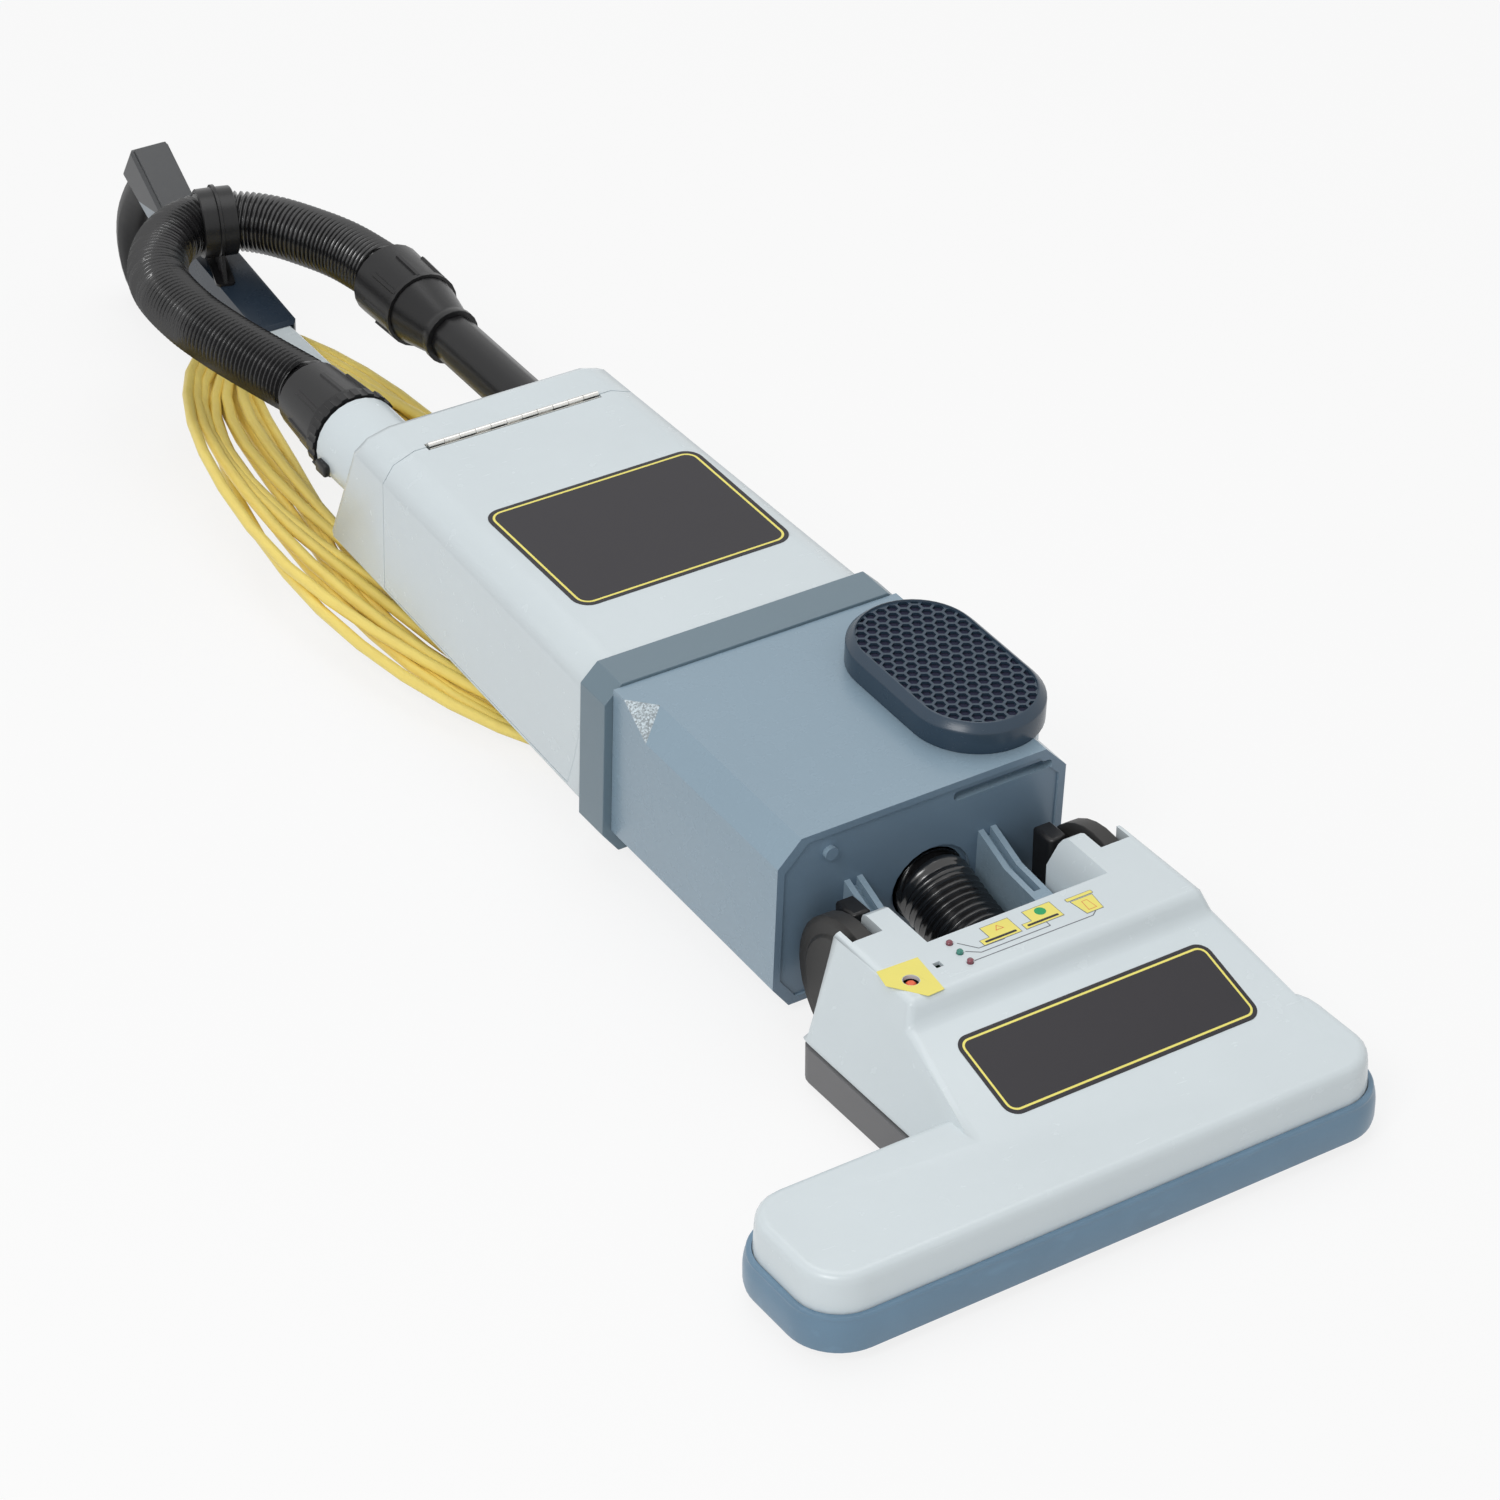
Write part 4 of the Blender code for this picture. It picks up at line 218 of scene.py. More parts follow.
def rubbery(name, colour, roughness, **constants):
    """Soft moulded rubber: matt, slightly bloomed, with rubbed patches."""
    finish = Finish(name, **constants)
    bloom = finish.noise(24, 5, distortion=0.4)
    pores = finish.noise(1900, 3)
    rub = finish.between(finish.noise(35, 4, (1, 3, 3)), 0.58, 0.75)
    base = finish.mix(bloom, shade(colour, 0.88), shade(colour, 1.14))
    finish.vary("Base Color", finish.mix(rub * 0.25, base, shade(colour, 1.5)))
    finish.vary("Roughness", roughness - 0.08 + bloom * 0.16)
    finish.bump(pores, 0.00005)
    return finish.material


def metal(name, colour, roughness=0.25):
    """Bare or plated metal with fine drawn lines and faint stains."""
    finish = Finish(name, Metallic=1.0)
    lines = finish.noise(120, 3, (1, 30, 30))
    stain = finish.noise(45, 4)
    finish.vary("Base Color", finish.mix(stain, shade(colour, 0.8), shade(colour, 1.1)))
    finish.vary("Roughness", roughness - 0.05 + lines * 0.16)
    finish.bump(lines, 0.00002)
    return finish.material


def fibrous(name, colour, scale, depth, spread=0.16):
    """Filter fleece, paper or card: matted fibres that catch the light."""
    finish = Finish(name, Roughness=0.92)
    fibres = finish.noise(scale, 6, distortion=1.6)
    clump = finish.noise(scale / 9, 3)
    tone = fibres * 0.65 + clump * 0.35
    finish.vary("Base Color", finish.mix(
        tone, shade(colour, 1 - spread), shade(colour, 1 + spread)))
    finish.bump(fibres, depth)
    return finish.material


def printed(name, colour):
    """Printed vinyl: an even ink with a faint dot screen and a handled sheen."""
    finish = Finish(name, Specular_IOR_Level=0.2)
    screen = finish.noise(3200, 1)
    sheen = finish.noise(40, 4)
    finish.vary("Base Color", finish.mix(
        screen * 0.5 + sheen * 0.5, shade(colour, 0.92), shade(colour, 1.07)))
    finish.vary("Roughness", 0.28 + sheen * 0.14)
    finish.bump(screen, 0.00001)
    return finish.material


def lens(name, colour):
    """A small clear lamp lens with a cloudy core."""
    finish = Finish(name, Coat_Weight=0.6, Coat_Roughness=0.05)
    core = finish.noise(700, 3)
    finish.vary("Base Color", finish.mix(core, shade(colour, 0.7), shade(colour, 1.5)))
    finish.vary("Roughness", 0.12 + core * 0.12)
    return finish.material


def sheathed(name, colour):
    """Cable sheath: a slight twist in its gloss, and grime where hands and floors touch it."""
    finish = Finish(name)
    lay = finish.noise(260, 2, (1, 0.25, 1))
    grime = finish.between(finish.noise(22, 5, distortion=0.8), 0.52, 0.8)
    base = finish.mix(lay, shade(colour, 0.9), shade(colour, 1.06))
    finish.vary("Base Color", finish.mix(grime * 0.15, base, shade(colour, 0.7)))
    finish.vary("Roughness", 0.34 + lay * 0.16 + grime * 0.15)
    finish.bump(lay, 0.00012)
    return finish.material


LIGHT_GREY = moulded("light_grey_shell", (0.68, 0.75, 0.78), 0.26)
BLUE_GREY = moulded("blue_grey_shell", (0.26, 0.36, 0.44), 0.27, 0.00002)
# Painted shade: a darker copy of the housing's blue, for the end plate that faces forward under the
# head
SHADED_HOUSING_BLUE = moulded("end_plate_painted_shade", (0.165, 0.245, 0.33), 0.32, 0.00002)
BAND_BLUE = moulded("band_shell", (0.15, 0.215, 0.26), 0.36, 0.00002)
BUMPER_BLUE = rubbery("bumper_rubber", (0.14, 0.24, 0.34), 0.32)
NAVY = moulded("navy_shell", (0.028, 0.052, 0.082), 0.26, 0.00002, Specular_IOR_Level=0.42)
SLEEVE_BLUE = moulded("sleeve_shell", (0.022, 0.036, 0.056), 0.28, Specular_IOR_Level=0.3)
BASE_GREY = moulded("base_shell", (0.17, 0.17, 0.175), 0.5, 0.00008, Specular_IOR_Level=0.3)
WHEEL_GREY = rubbery("wheel_rubber", (0.034, 0.033, 0.032), 0.45, Specular_IOR_Level=0.25)
BLACK = moulded("black_plastic", (0.014, 0.014, 0.015), 0.30, Specular_IOR_Level=0.32)
GRIP_BLACK = rubbery("grip_rubber", (0.018, 0.018, 0.019), 0.42, Specular_IOR_Level=0.25)
HOSE_BLACK = moulded(
    "hose_plastic", (0.009, 0.009, 0.010), 0.2, 0.00001, Specular_IOR_Level=0.9)
DARK_GREY = moulded("dark_grey_shell", (0.080, 0.083, 0.087), 0.30, Specular_IOR_Level=0.3)
MID_GREY = moulded("mid_grey_shell", (0.29, 0.33, 0.365), 0.36)
FACET = frosted("facet_frost", (0.46, 0.53, 0.57))
STEEL = metal("bare_steel", (0.55, 0.55, 0.56))
NICKEL = metal("nickel_plate", (0.74, 0.73, 0.70), 0.2)
FLEECE = fibrous("filter_fleece", (0.012, 0.014, 0.040), 600, 0.0006)
PAPER = fibrous("bag_paper", (0.72, 0.66, 0.55), 500, 0.0003, 0.1)
BRISTLE = fibrous("bristle_nylon", (0.03, 0.03, 0.032), 1500, 0.0004, 0.4)
BUTTON_RED = moulded("button_red", (0.85, 0.13, 0.04), 0.3)
LAMP_RED = lens("lamp_red", (0.20, 0.04, 0.06))
LAMP_GREEN = lens("lamp_green", (0.02, 0.20, 0.15))
BOARD_GREEN = printed("board_green", (0.02, 0.15, 0.07))
YELLOW_INK = printed("yellow_ink", (0.90, 0.80, 0.20))
CHARCOAL_INK = printed("charcoal_ink", (0.036, 0.034, 0.039))
GREY_INK = printed("grey_ink", (0.16, 0.17, 0.19))
GREEN_INK = printed("green_ink", (0.03, 0.38, 0.14))
RED_INK = printed("red_ink", (0.75, 0.22, 0.08))
CORD_YELLOW = sheathed("cord_sheath", (1.0, 0.77, 0.20))

# Ways to make a piece

CREASE = 38


def piece(name, shape, finishes, body, crease=CREASE):
    """A bmesh that lies in the row frame as a piece that rides on a body."""
    mesh = bpy.data.meshes.new(name)
    shape.to_mesh(mesh)
    shape.free()
    for finish in finishes:
        mesh.materials.append(finish)
    mesh.shade_smooth()
    mesh.set_sharp_from_angle(angle=math.radians(crease))
    made = in_scene(name, mesh)
    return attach(made, body) if body else made


def merged(node):
    """A copy of a CAD node's mesh with its triangles joined into whole faces."""
    shape = bmesh.new()
    shape.from_mesh(NODES[node].data)
    bmesh.ops.remove_doubles(shape, verts=shape.verts, dist=3e-6)
    bmesh.ops.dissolve_limit(
        shape, angle_limit=math.radians(0.3), verts=shape.verts, edges=shape.edges)
    return shape


def round_edges(shape, edges, offset, segments=2, clamp=True):
    bmesh.ops.bevel(
        shape, geom=edges, offset=offset * 0.001, segments=segments, profile=0.5,
        affect="EDGES", clamp_overlap=clamp, material=-1)


def dressed(node, body, finishes, rounding, crease=CREASE, pick=None, reshape=None):
    """The node's own form with rounded edges, smooth curves and even flats.

    A reshape works on the copy first. From a face's centre and normal in the row frame, pick
    gives the number of its finish.
    """
    shape = merged(node)
    if reshape:
        reshape(shape)
    if pick:
        shape.normal_update()
        for face in shape.faces:
            face.material_index = pick(face.calc_center_median(), face.normal)
    if rounding:
        round_edges(shape, [
            edge for edge in shape.edges
            if len(edge.link_faces) == 2 and edge.calc_face_angle() > math.radians(crease)],
            rounding)
        bmesh.ops.dissolve_degenerate(shape, edges=shape.edges, dist=5e-6)
    made = piece(node + "_skin", shape, finishes, body, crease)
    made.modifiers.new("even_flats", "WEIGHTED_NORMAL").keep_sharp = True
    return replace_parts(made, node)


def arc(centre, radius, start, end, steps):
    """Points on an arc, its angles in degrees."""
    turns = [math.radians(start + (end - start) * step / steps) for step in range(steps + 1)]
    return [
        (centre[0] + radius * math.cos(turn), centre[1] + radius * math.sin(turn))
        for turn in turns]


def rounded(left, right, near, far, corner):
    """A rectangle with rounded corners."""
    return (arc((left + corner, near + corner), corner, 180, 270, 8)
            + arc((right - corner, near + corner), corner, 270, 360, 8)
            + arc((right - corner, far - corner), corner, 0, 90, 8)
            + arc((left + corner, far - corner), corner, 90, 180, 8))


def thicken(shape, height):
    """Raises the faces of a flat shape, with walls round them."""
    raised = bmesh.ops.extrude_face_region(shape, geom=shape.faces[:])
    top = [item for item in raised["geom"] if isinstance(item, bmesh.types.BMVert)]
    bmesh.ops.translate(shape, vec=(0, 0, height), verts=top)
    bmesh.ops.recalc_face_normals(shape, faces=shape.faces)


def sticker(name, outline, face, finishes, body, bands=(), thick=0.15, lift=0.0):
    """A thin flat piece, cut to an outline of (x, y) millimetres, laid on a face.

    From its edge inwards come bands of some widths, each with its own finish, then the last
    finish.
    """
    shape = bmesh.new()
    inner = shape.faces.new([shape.verts.new((x, y, lift)) for x, y in outline])
    inner.material_index = len(bands)
    shape.normal_update()
    for index, width in enumerate(bands):
        ring = bmesh.ops.inset_region(
            shape, faces=[inner], thickness=width, use_boundary=True, use_even_offset=True)
        for patch in ring["faces"]:
            patch.material_index = index
    thicken(shape, thick)
    bmesh.ops.transform(shape, matrix=face, verts=shape.verts)
    return piece(name, shape, finishes, body)


def turned(name, profile, place, finish, body):
    """A closed profile of (along, radius) millimetres, spun about the place's X axis."""
    shape = bmesh.new()
    points = [shape.verts.new((along, 0, radius)) for along, radius in profile]
    edges = [shape.edges.new(pair) for pair in zip(points, points[1:] + points[:1])]
    bmesh.ops.spin(
        shape, geom=points + edges, axis=(1, 0, 0), cent=(0, 0, 0), steps=64,
        angle=2 * math.pi, use_merge=True)
    bmesh.ops.remove_doubles(shape, verts=shape.verts, dist=0.001)
    bmesh.ops.transform(shape, matrix=place, verts=shape.verts)
    bmesh.ops.recalc_face_normals(shape, faces=shape.faces)
    return piece(name, shape, [finish], body)


def smooth_route(points, steps):
    """Points on a smooth curve through the route's own points."""
    route = [Vector(point) for point in points]
    route = [2 * route[0] - route[1]] + route + [2 * route[-1] - route[-2]]
    made = []
    for a, b, c, d in zip(route, route[1:], route[2:], route[3:]):
        for step in range(steps):
            t = step / steps
            made.append(0.5 * (2 * b + (c - a) * t + (2 * a - 5 * b + 4 * c - d) * t ** 2
                               + (3 * b - a - 3 * c + d) * t ** 3))
    made.append(route[-2])
    return made


def evenly(points, pitch):
    """Points spaced along a line by about a pitch, its two ends kept."""
    runs = [(b - a).length for a, b in zip(points, points[1:])]
    count = max(2, round(sum(runs) / pitch))
    spacing = sum(runs) / count
    made = [points[0]]
    passed = 0.0
    for a, b, run in zip(points, points[1:], runs):
        while len(made) < count and passed + run >= spacing * len(made):
            made.append(a.lerp(b, (spacing * len(made) - passed) / run))
        passed += run
    return made + [points[-1]]


def swept(name, points, radius, swell, sides):
    """A round tube along points in the row frame, its radius times each point's swell."""
    curve = bpy.data.curves.new(name, "CURVE")
    curve.dimensions = "3D"
    curve.bevel_depth = radius
    curve.bevel_resolution = sides
    curve.use_fill_caps = True
    spline = curve.splines.new("POLY")
    spline.points.add(len(points) - 1)
    for target, point, scale in zip(spline.points, points, swell):
        target.co = (*point, 1)
        target.radius = scale
    return in_scene(name, curve)


def drawn(name, outlines, closed=True):
    """Flat outlines of (x, y) points as one curve."""
    curve = bpy.data.curves.new(name, "CURVE")
    for outline in outlines:
        spline = curve.splines.new("POLY")
        spline.points.add(len(outline) - 1)
        for target, (x, y) in zip(spline.points, outline):
            target.co = (x, y, 0, 1)
        spline.use_cyclic_u = closed
    return in_scene(name, curve)


def as_shape(made, *helpers):
    """The finished form of an object as a bmesh; the object and its helpers go."""
    mesh = bpy.data.meshes.new_from_object(
        made.evaluated_get(bpy.context.evaluated_depsgraph_get()))
    for used in (made, *helpers):
        bpy.data.objects.remove(used, do_unlink=True)
    shape = bmesh.new()
    shape.from_mesh(mesh)
    bmesh.ops.remove_doubles(shape, verts=shape.verts, dist=1e-6)
    bmesh.ops.recalc_face_normals(shape, faces=shape.faces)
    return shape


def corrugated(name, route, radius, pitch, rib, body):
    """A hose along a route of body millimetres; a rib gives the radii over one pitch."""
    line = evenly(
        [BODY @ point for point in smooth_route(route, 12)], pitch * 0.001 / len(rib))
    swell = [rib[index % len(rib)] for index in range(len(line))]
    shape = as_shape(swept(name + "_line", line, radius * 0.001, swell, 12))
    return piece(name, shape, [HOSE_BLACK], body, 80)


# Power cord: over eleven turns round the two hooks, from the strain relief to the plug

CORD_DIAMETER = 8.0
HANK_X, HANK_Y, HANK_LONG = -6.0, 563.5, 301.5
HANK_LEFT, HANK_RIGHT = 127.0, 73.0
FRONT_LAYER, BACK_LAYER = 3.0, -5.0
SLOTS = (
    [(column, FRONT_LAYER) for column in (2, 1, 0)]
    + [(column, BACK_LAYER) for column in range(6)]
    + [(column, FRONT_LAYER) for column in (3, 4, 5)])
FIRST_TURN = 0.80
LAST_TURN = -2 * math.pi * 11 - 1.30
TURN_STEPS = 420
ROUTE_STEPS = 5
# The share of a turn after which a strand crosses to its next slot
CROSSING = 0.86
# How the left bow's strands spread, sag, lean and stray, and how they lift off one another
BOW_SPREAD, BOW_SAG, BOW_LEAN, BOW_STRAY = 0.25, 8, 15, 6
OUTER_STRANDS, OUTER_LIFT, STRAND_LIFT, LAYER_LIFT = 40, 4, 3.5, 2
HOUSING_END, FREE_RUN = 585, 110


def hank_point(turn):
    """A point of the winding: its slot is the turn's own, and it crosses to the next one late.

    On the left bow the strands hang loose: the front layer leans across the back one, and some
    strands ride up on others past the bag housing.
    """
    wound = (FIRST_TURN - turn) / (2 * math.pi)
    index = min(int(wound), len(SLOTS) - 1)
    after = min(index + 1, len(SLOTS) - 1)
    share = max(0.0, (wound - index - CROSSING) / (1 - CROSSING))
    share = share * share * (3 - 2 * share)
    column = SLOTS[index][0] * (1 - share) + SLOTS[after][0] * share
    depth = SLOTS[index][1] * (1 - share) + SLOTS[after][1] * share
    layer = (depth - BACK_LAYER) / (FRONT_LAYER - BACK_LAYER) * 2 - 1
    slack = max(0.0, -math.sin(turn))
    inset = CORD_DIAMETER * (0.5 + column) * (1 + BOW_SPREAD * slack)
    lean = BOW_LEAN * layer * math.sin(2 * turn)
    inset += slack * (BOW_SAG + lean + BOW_STRAY * math.sin(5 * index + 3 * turn))
    along = HANK_Y + (HANK_LONG - inset) * math.cos(turn)
    free = min(1.0, max(0.0, (along - HOUSING_END) / FREE_RUN))
    outer = max(0.0, 1 - inset / OUTER_STRANDS)
    depth += slack * (OUTER_LIFT * outer + free * (STRAND_LIFT * (index % 3) + LAYER_LIFT * layer))
    across = HANK_LEFT if math.sin(turn) < 0 else HANK_RIGHT
    return Vector((HANK_X + (across - inset) * math.sin(turn), along, depth))


RELIEF = (45.0, 593.6, 18.0)
PLUG_TAIL = (-41.0, 430.3, -1.0)
lead = [RELIEF, (45, 624, 18), (44.5, 655, 13.5), (43.5, 690, 9.0)]
turns = [
    hank_point(FIRST_TURN + (LAST_TURN - FIRST_TURN) * step / TURN_STEPS)
    for step in range(TURN_STEPS + 1)]
tail = [
    (-72.5, 505, -1), (-62, 478, -1), (-48, 462, -1), (-41, 448, -1), (-41, 439, -1), PLUG_TAIL]
winding = [
    BODY @ point for point in (
        smooth_route(lead + turns[:2], ROUTE_STEPS)[:-ROUTE_STEPS] + turns
        + smooth_route(turns[-2:] + tail, ROUTE_STEPS)[ROUTE_STEPS + 1:])]
cord_length = sum((b - a).length for a, b in zip(winding, winding[1:]))
cord = swept("power_cord", winding, CORD_DIAMETER * 0.0005, [1.0] * len(winding), 3)
cord.data.materials.append(CORD_YELLOW)
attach(cord, "main_body")
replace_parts(cord, "cord_hank", "cord_lead", "cord_tail")

# Shells and fittings on their CAD forms

NECK_SIDE, SIDE_REAR, REAR_ROUND = -45, 231, 12
STRIP_CORE_X, STRIP_CORE_NEAR, STRIP_CORE_FAR, STRIP_CORNER = 166.0, 34.0, 68.3, 28.7
STRIP_LOW, STRIP_HIGH, STRIP_MARGIN = 55.8, 57.02, 1.3
STRIP_RINGS = ((56.0, 1.0, 50.5), (56.5, 2.0, 54.2), (56.9, 4.2, 56.4), (57.0, 7.5, 57.0))
HINGE_Y, HINGE_Z, KNUCKLE_REACH, KNUCKLE_SHARE = 480, 131.6, 2.7, 0.75
FACET_NEAR, FACET_FAR, FACET_LOW, FACET_SIDE = 140, 170, 110, 85
FACET_FOOT_END, FACET_CORNER_END, FACET_TOP_END = 146, 172, 156
HOUSING_SIDE, HOUSING_TOP, END_PLATE_DEEP = 103, 130, 10
BLADES_END = 393.9
SHELL_SPLIT = BODY @ Vector((0, 1004, 44))
SHELL_NORMAL = (BODY.to_3x3() @ Vector((0, 6, 42))).normalized()


def soften_rear(shape):
    """Rounds the upright corner behind the left wheel."""
    rear = []
    for edge in shape.edges:
        ends = [on_head(vertex.co) for vertex in edge.verts]
        low, high = sorted(ends, key=lambda place: place.z)
        upright = high.z - low.z > 3 and abs(high.y - low.y) < 1
        if upright and low.x < NECK_SIDE and low.y > SIDE_REAR:
            rear.append(edge)
    round_edges(shape, rear, REAR_ROUND, 5, clamp=False)


def soften_strip(shape):
    """Gives the strip over the nozzle a slight draft and a soft round along its top.

    Each ring of the CAD's small round, told by its height, gets an inset and a new height.
    """
    for vertex in shape.verts:
        place = on_head(vertex.co)
        core = Vector((
            min(max(place.x, -STRIP_CORE_X), STRIP_CORE_X),
            min(max(place.y, STRIP_CORE_NEAR), STRIP_CORE_FAR), place.z))
        out = place - core
        on_edge = STRIP_CORNER - out.length <= STRIP_MARGIN
        if on_edge and STRIP_LOW <= place.z <= STRIP_HIGH:
            inset, height = min(STRIP_RINGS, key=lambda ring: abs(ring[0] - place.z))[1:]
            place = core + out.normalized() * (STRIP_CORNER - inset)
            place.z = height
            vertex.co = HEAD @ place


def shape_cover(shape):
    soften_strip(shape)
    soften_rear(shape)


def slim_hinge(shape):
    """Draws the knuckles in towards the pin."""
    for vertex in shape.verts:
        place = on_body(vertex.co)
        if math.hypot(place.y - HINGE_Y, place.z - HINGE_Z) < KNUCKLE_REACH:
            place.y = HINGE_Y + (place.y - HINGE_Y) * KNUCKLE_SHARE
            place.z = HINGE_Z + (place.z - HINGE_Z) * KNUCKLE_SHARE
            vertex.co = BODY @ place


def turn_facets(shape):
    """Slants the ends of the two front chamfers back towards the housing's edges."""
    for vertex in shape.verts:
        place = on_body(vertex.co)
        at_end = FACET_NEAR < place.y < FACET_FAR
        if at_end and place.z > FACET_LOW and abs(place.x) > FACET_SIDE:
            if place.z < HOUSING_TOP:
                place.y = FACET_FOOT_END
            elif abs(place.x) > HOUSING_SIDE:
                place.y = FACET_CORNER_END
            else:
                place.y = FACET_TOP_END
            vertex.co = BODY @ place


def housing_finish(centre, normal):
    """1 on the frosted end facets, 2 on the end plate, whose darker blue is painted shade, 0 on the
    rest.
    """
    place = on_body(centre)
    facing = BODY.to_3x3().normalized().inverted() @ normal
    at_end = FACET_NEAR < place.y < FACET_CORNER_END and place.z > FACET_LOW + 2
    if at_end and -0.95 < facing.y < -0.2:
        return 1
    return 2 if place.y < END_PLATE_DEEP and facing.y < -0.5 else 0


def plug_finish(centre, normal):
    return 1 if on_body(centre).y < BLADES_END else 0


def split_shell(shape):
    everything = shape.verts[:] + shape.edges[:] + shape.faces[:]
    bmesh.ops.bisect_plane(shape, geom=everything, plane_co=SHELL_SPLIT, plane_no=SHELL_NORMAL)


def shell_finish(centre, normal):
    return 1 if (centre - SHELL_SPLIT).dot(SHELL_NORMAL) < 0 else 0


for node, body, finish, rounding in (
        ("sole_plate", "head", STEEL, 0.4),
        ("brush_bearing_left", "head", BLACK, 0.5),
        ("brush_bearing_right", "head", BLACK, 0.5),
        ("axle_left", "head", STEEL, 0.3),
        ("axle_right", "head", STEEL, 0.3),
        ("pivot_pin_left", "head", STEEL, 0.3),
        ("pivot_pin_right", "head", STEEL, 0.3),
        ("pivot_clamp_left", "head", BLACK, 0.4),
        ("pivot_clamp_right", "head", BLACK, 0.4),
        ("wheel_left", "wheel_left", WHEEL_GREY, 0.6),
        ("wheel_right", "wheel_right", WHEEL_GREY, 0.6),
        ("reset_button", "reset_button", BUTTON_RED, 0.2),
        ("brush_lamp", "head", LAMP_RED, 0.0),
        ("power_lamp", "head", LAMP_GREEN, 0.0),
        ("bag_lamp", "head", LAMP_RED, 0.0),
        ("collar_band", "main_body", BAND_BLUE, 0.6),
        ("exhaust_filter", "main_body", FLEECE, 0.0),
        ("bag_housing", "main_body", LIGHT_GREY, 1.0),
        ("bag_door", "bag_door", LIGHT_GREY, 1.0),
        ("release_ring", "release_ring", BLACK, 0.3),
        ("port_cuff", "main_body", BLACK, 0.3),
        ("wand_cuff", "main_body", BLACK, 0.3),
        ("wand_adapter", "main_body", BLACK, 0.6),
        ("wand", "main_body", BLACK, 0.5),
        ("handle_stem", "main_body", LIGHT_GREY, 0.4),
        ("handle_sleeve", "main_body", SLEEVE_BLUE, 0.5),
        ("handle_face", "main_body", DARK_GREY, 0.6),
        ("handle_grip", "main_body", GRIP_BLACK, 0.8),
        ("power_switch", "power_switch", BLACK, 0.3),
        ("cord_hook_upper", "main_body", BLACK, 0.6),
        ("cord_hook_lower", "main_body", BLACK, 0.6),
        ("strain_relief", "main_body", GRIP_BLACK, 0.4)):
    dressed(node, body, [finish], rounding)
dressed("hinge_leaf_fixed", "main_body", [NICKEL], 0.7, 50, reshape=slim_hinge)
dressed("hinge_leaf_door", "bag_door", [NICKEL], 0.7, 50, reshape=slim_hinge)
dressed("head_cover", "head", [LIGHT_GREY], 1.0, 50, reshape=shape_cover)
dressed("head_base", "head", [BASE_GREY], 1.0, reshape=soften_rear)
# The end plate's faces take the darker copy of the housing's blue, which is painted shade
dressed(
    "motor_housing", "main_body", [BLUE_GREY, FACET, SHADED_HOUSING_BLUE], 1.0, pick=housing_finish,
    reshape=turn_facets)
dressed(
    "handle_shell", "main_body", [DARK_GREY, MID_GREY], 0.8, pick=shell_finish,
    reshape=split_shell)
plug = dressed("plug", "main_body", [CORD_YELLOW, STEEL], 0.5, pick=plug_finish)

for node, finish in (
        ("brush_motor", STEEL), ("motor_pulley", STEEL), ("drive_belt", GRIP_BLACK),
        ("nozzle_duct", BLACK), ("reset_breaker", BLACK), ("indicator_board", BOARD_GREEN),
        ("riser_duct", BLACK), ("motor_bulkhead", BLACK), ("suction_motor", STEEL),
        ("motor_mount", GRIP_BLACK), ("bag_collar", PAPER), ("filter_bag", PAPER)):
    NODES[node].data.materials.clear()
    NODES[node].data.materials.append(finish)

# Hoses

STRETCH_RIB = (1.0, 0.985, 0.935, 0.87, 0.87, 0.935)
NECK_RIB = (1.0, 0.985, 0.94, 0.89, 0.89, 0.94)
HOSE_ROUTE = (
    (-58, 655.3, 75), (-58, 661, 75), (-58, 667, 75), (-66, 700, 75), (-76, 745, 75),
    (-82, 790, 75), (-80, 835, 75), (-66, 868, 75), (-44, 892, 75), (-18, 902, 75),
    (6, 895, 75), (28, 875, 75), (45, 845, 75), (57, 815, 75), (64, 779, 75), (64, 772, 75),
    (64, 765.3, 75))
stretch_hose = corrugated(
    "stretch_hose_rings", HOSE_ROUTE, 22, 4.1, STRETCH_RIB, "main_body")
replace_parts(stretch_hose, "stretch_hose")

HEAD_TO_BODY = BODY.inverted() @ HEAD
NECK_ROUTE = [
    HEAD_TO_BODY @ Vector(point)
    for point in ((70, 193.1, 37), (70, 196, 37), (70, 204, 37))] + [
    Vector(point) for point in ((9, -34, 50), (9, -6, 58), (9, 2, 58), (9, 5.4, 58))]
neck_hose = corrugated("neck_hose_rings", NECK_ROUTE, 25, 5.4, NECK_RIB, None)
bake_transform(neck_hose)
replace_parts(neck_hose, "neck_hose")

# Bumper: a bulging strip with a thin lip along its top, swept round the nozzle

BUMPER_PROFILE = (
    (0, 8), (2.6, 8), (4.2, 9.4), (5, 13), (5, 22), (4.4, 27), (3.4, 29.6), (3.3, 30.4),
    (3.4, 31.4), (2.9, 32.5), (2, 33), (0, 33))
BUMPER_CORNER = 29
bumper_line = (
    arc((-STRIP_CORE_X, STRIP_CORE_FAR), BUMPER_CORNER, 112, 180, 9)
    + arc((-STRIP_CORE_X, STRIP_CORE_NEAR), BUMPER_CORNER, 180, 270, 12)
    + [(-80, 5), (0, 5), (80, 5)]
    + arc((STRIP_CORE_X, STRIP_CORE_NEAR), BUMPER_CORNER, 270, 360, 12)
    + [(195, 60), (195, 87.9)])
section = drawn("bumper_section", [BUMPER_PROFILE])
strip = drawn("bumper_line", [bumper_line], closed=False)
strip.data.dimensions = "2D"
strip.data.bevel_mode = "OBJECT"
strip.data.bevel_object = section
strip.data.use_fill_caps = True
bumper = as_shape(strip, section)
bmesh.ops.transform(bumper, matrix=HEAD, verts=bumper.verts)
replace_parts(piece("bumper_strip", bumper, [BUMPER_BLUE], "head", 30), "bumper")

# Exhaust cover: a chamfered rim round a sunk plate of six-sided holes

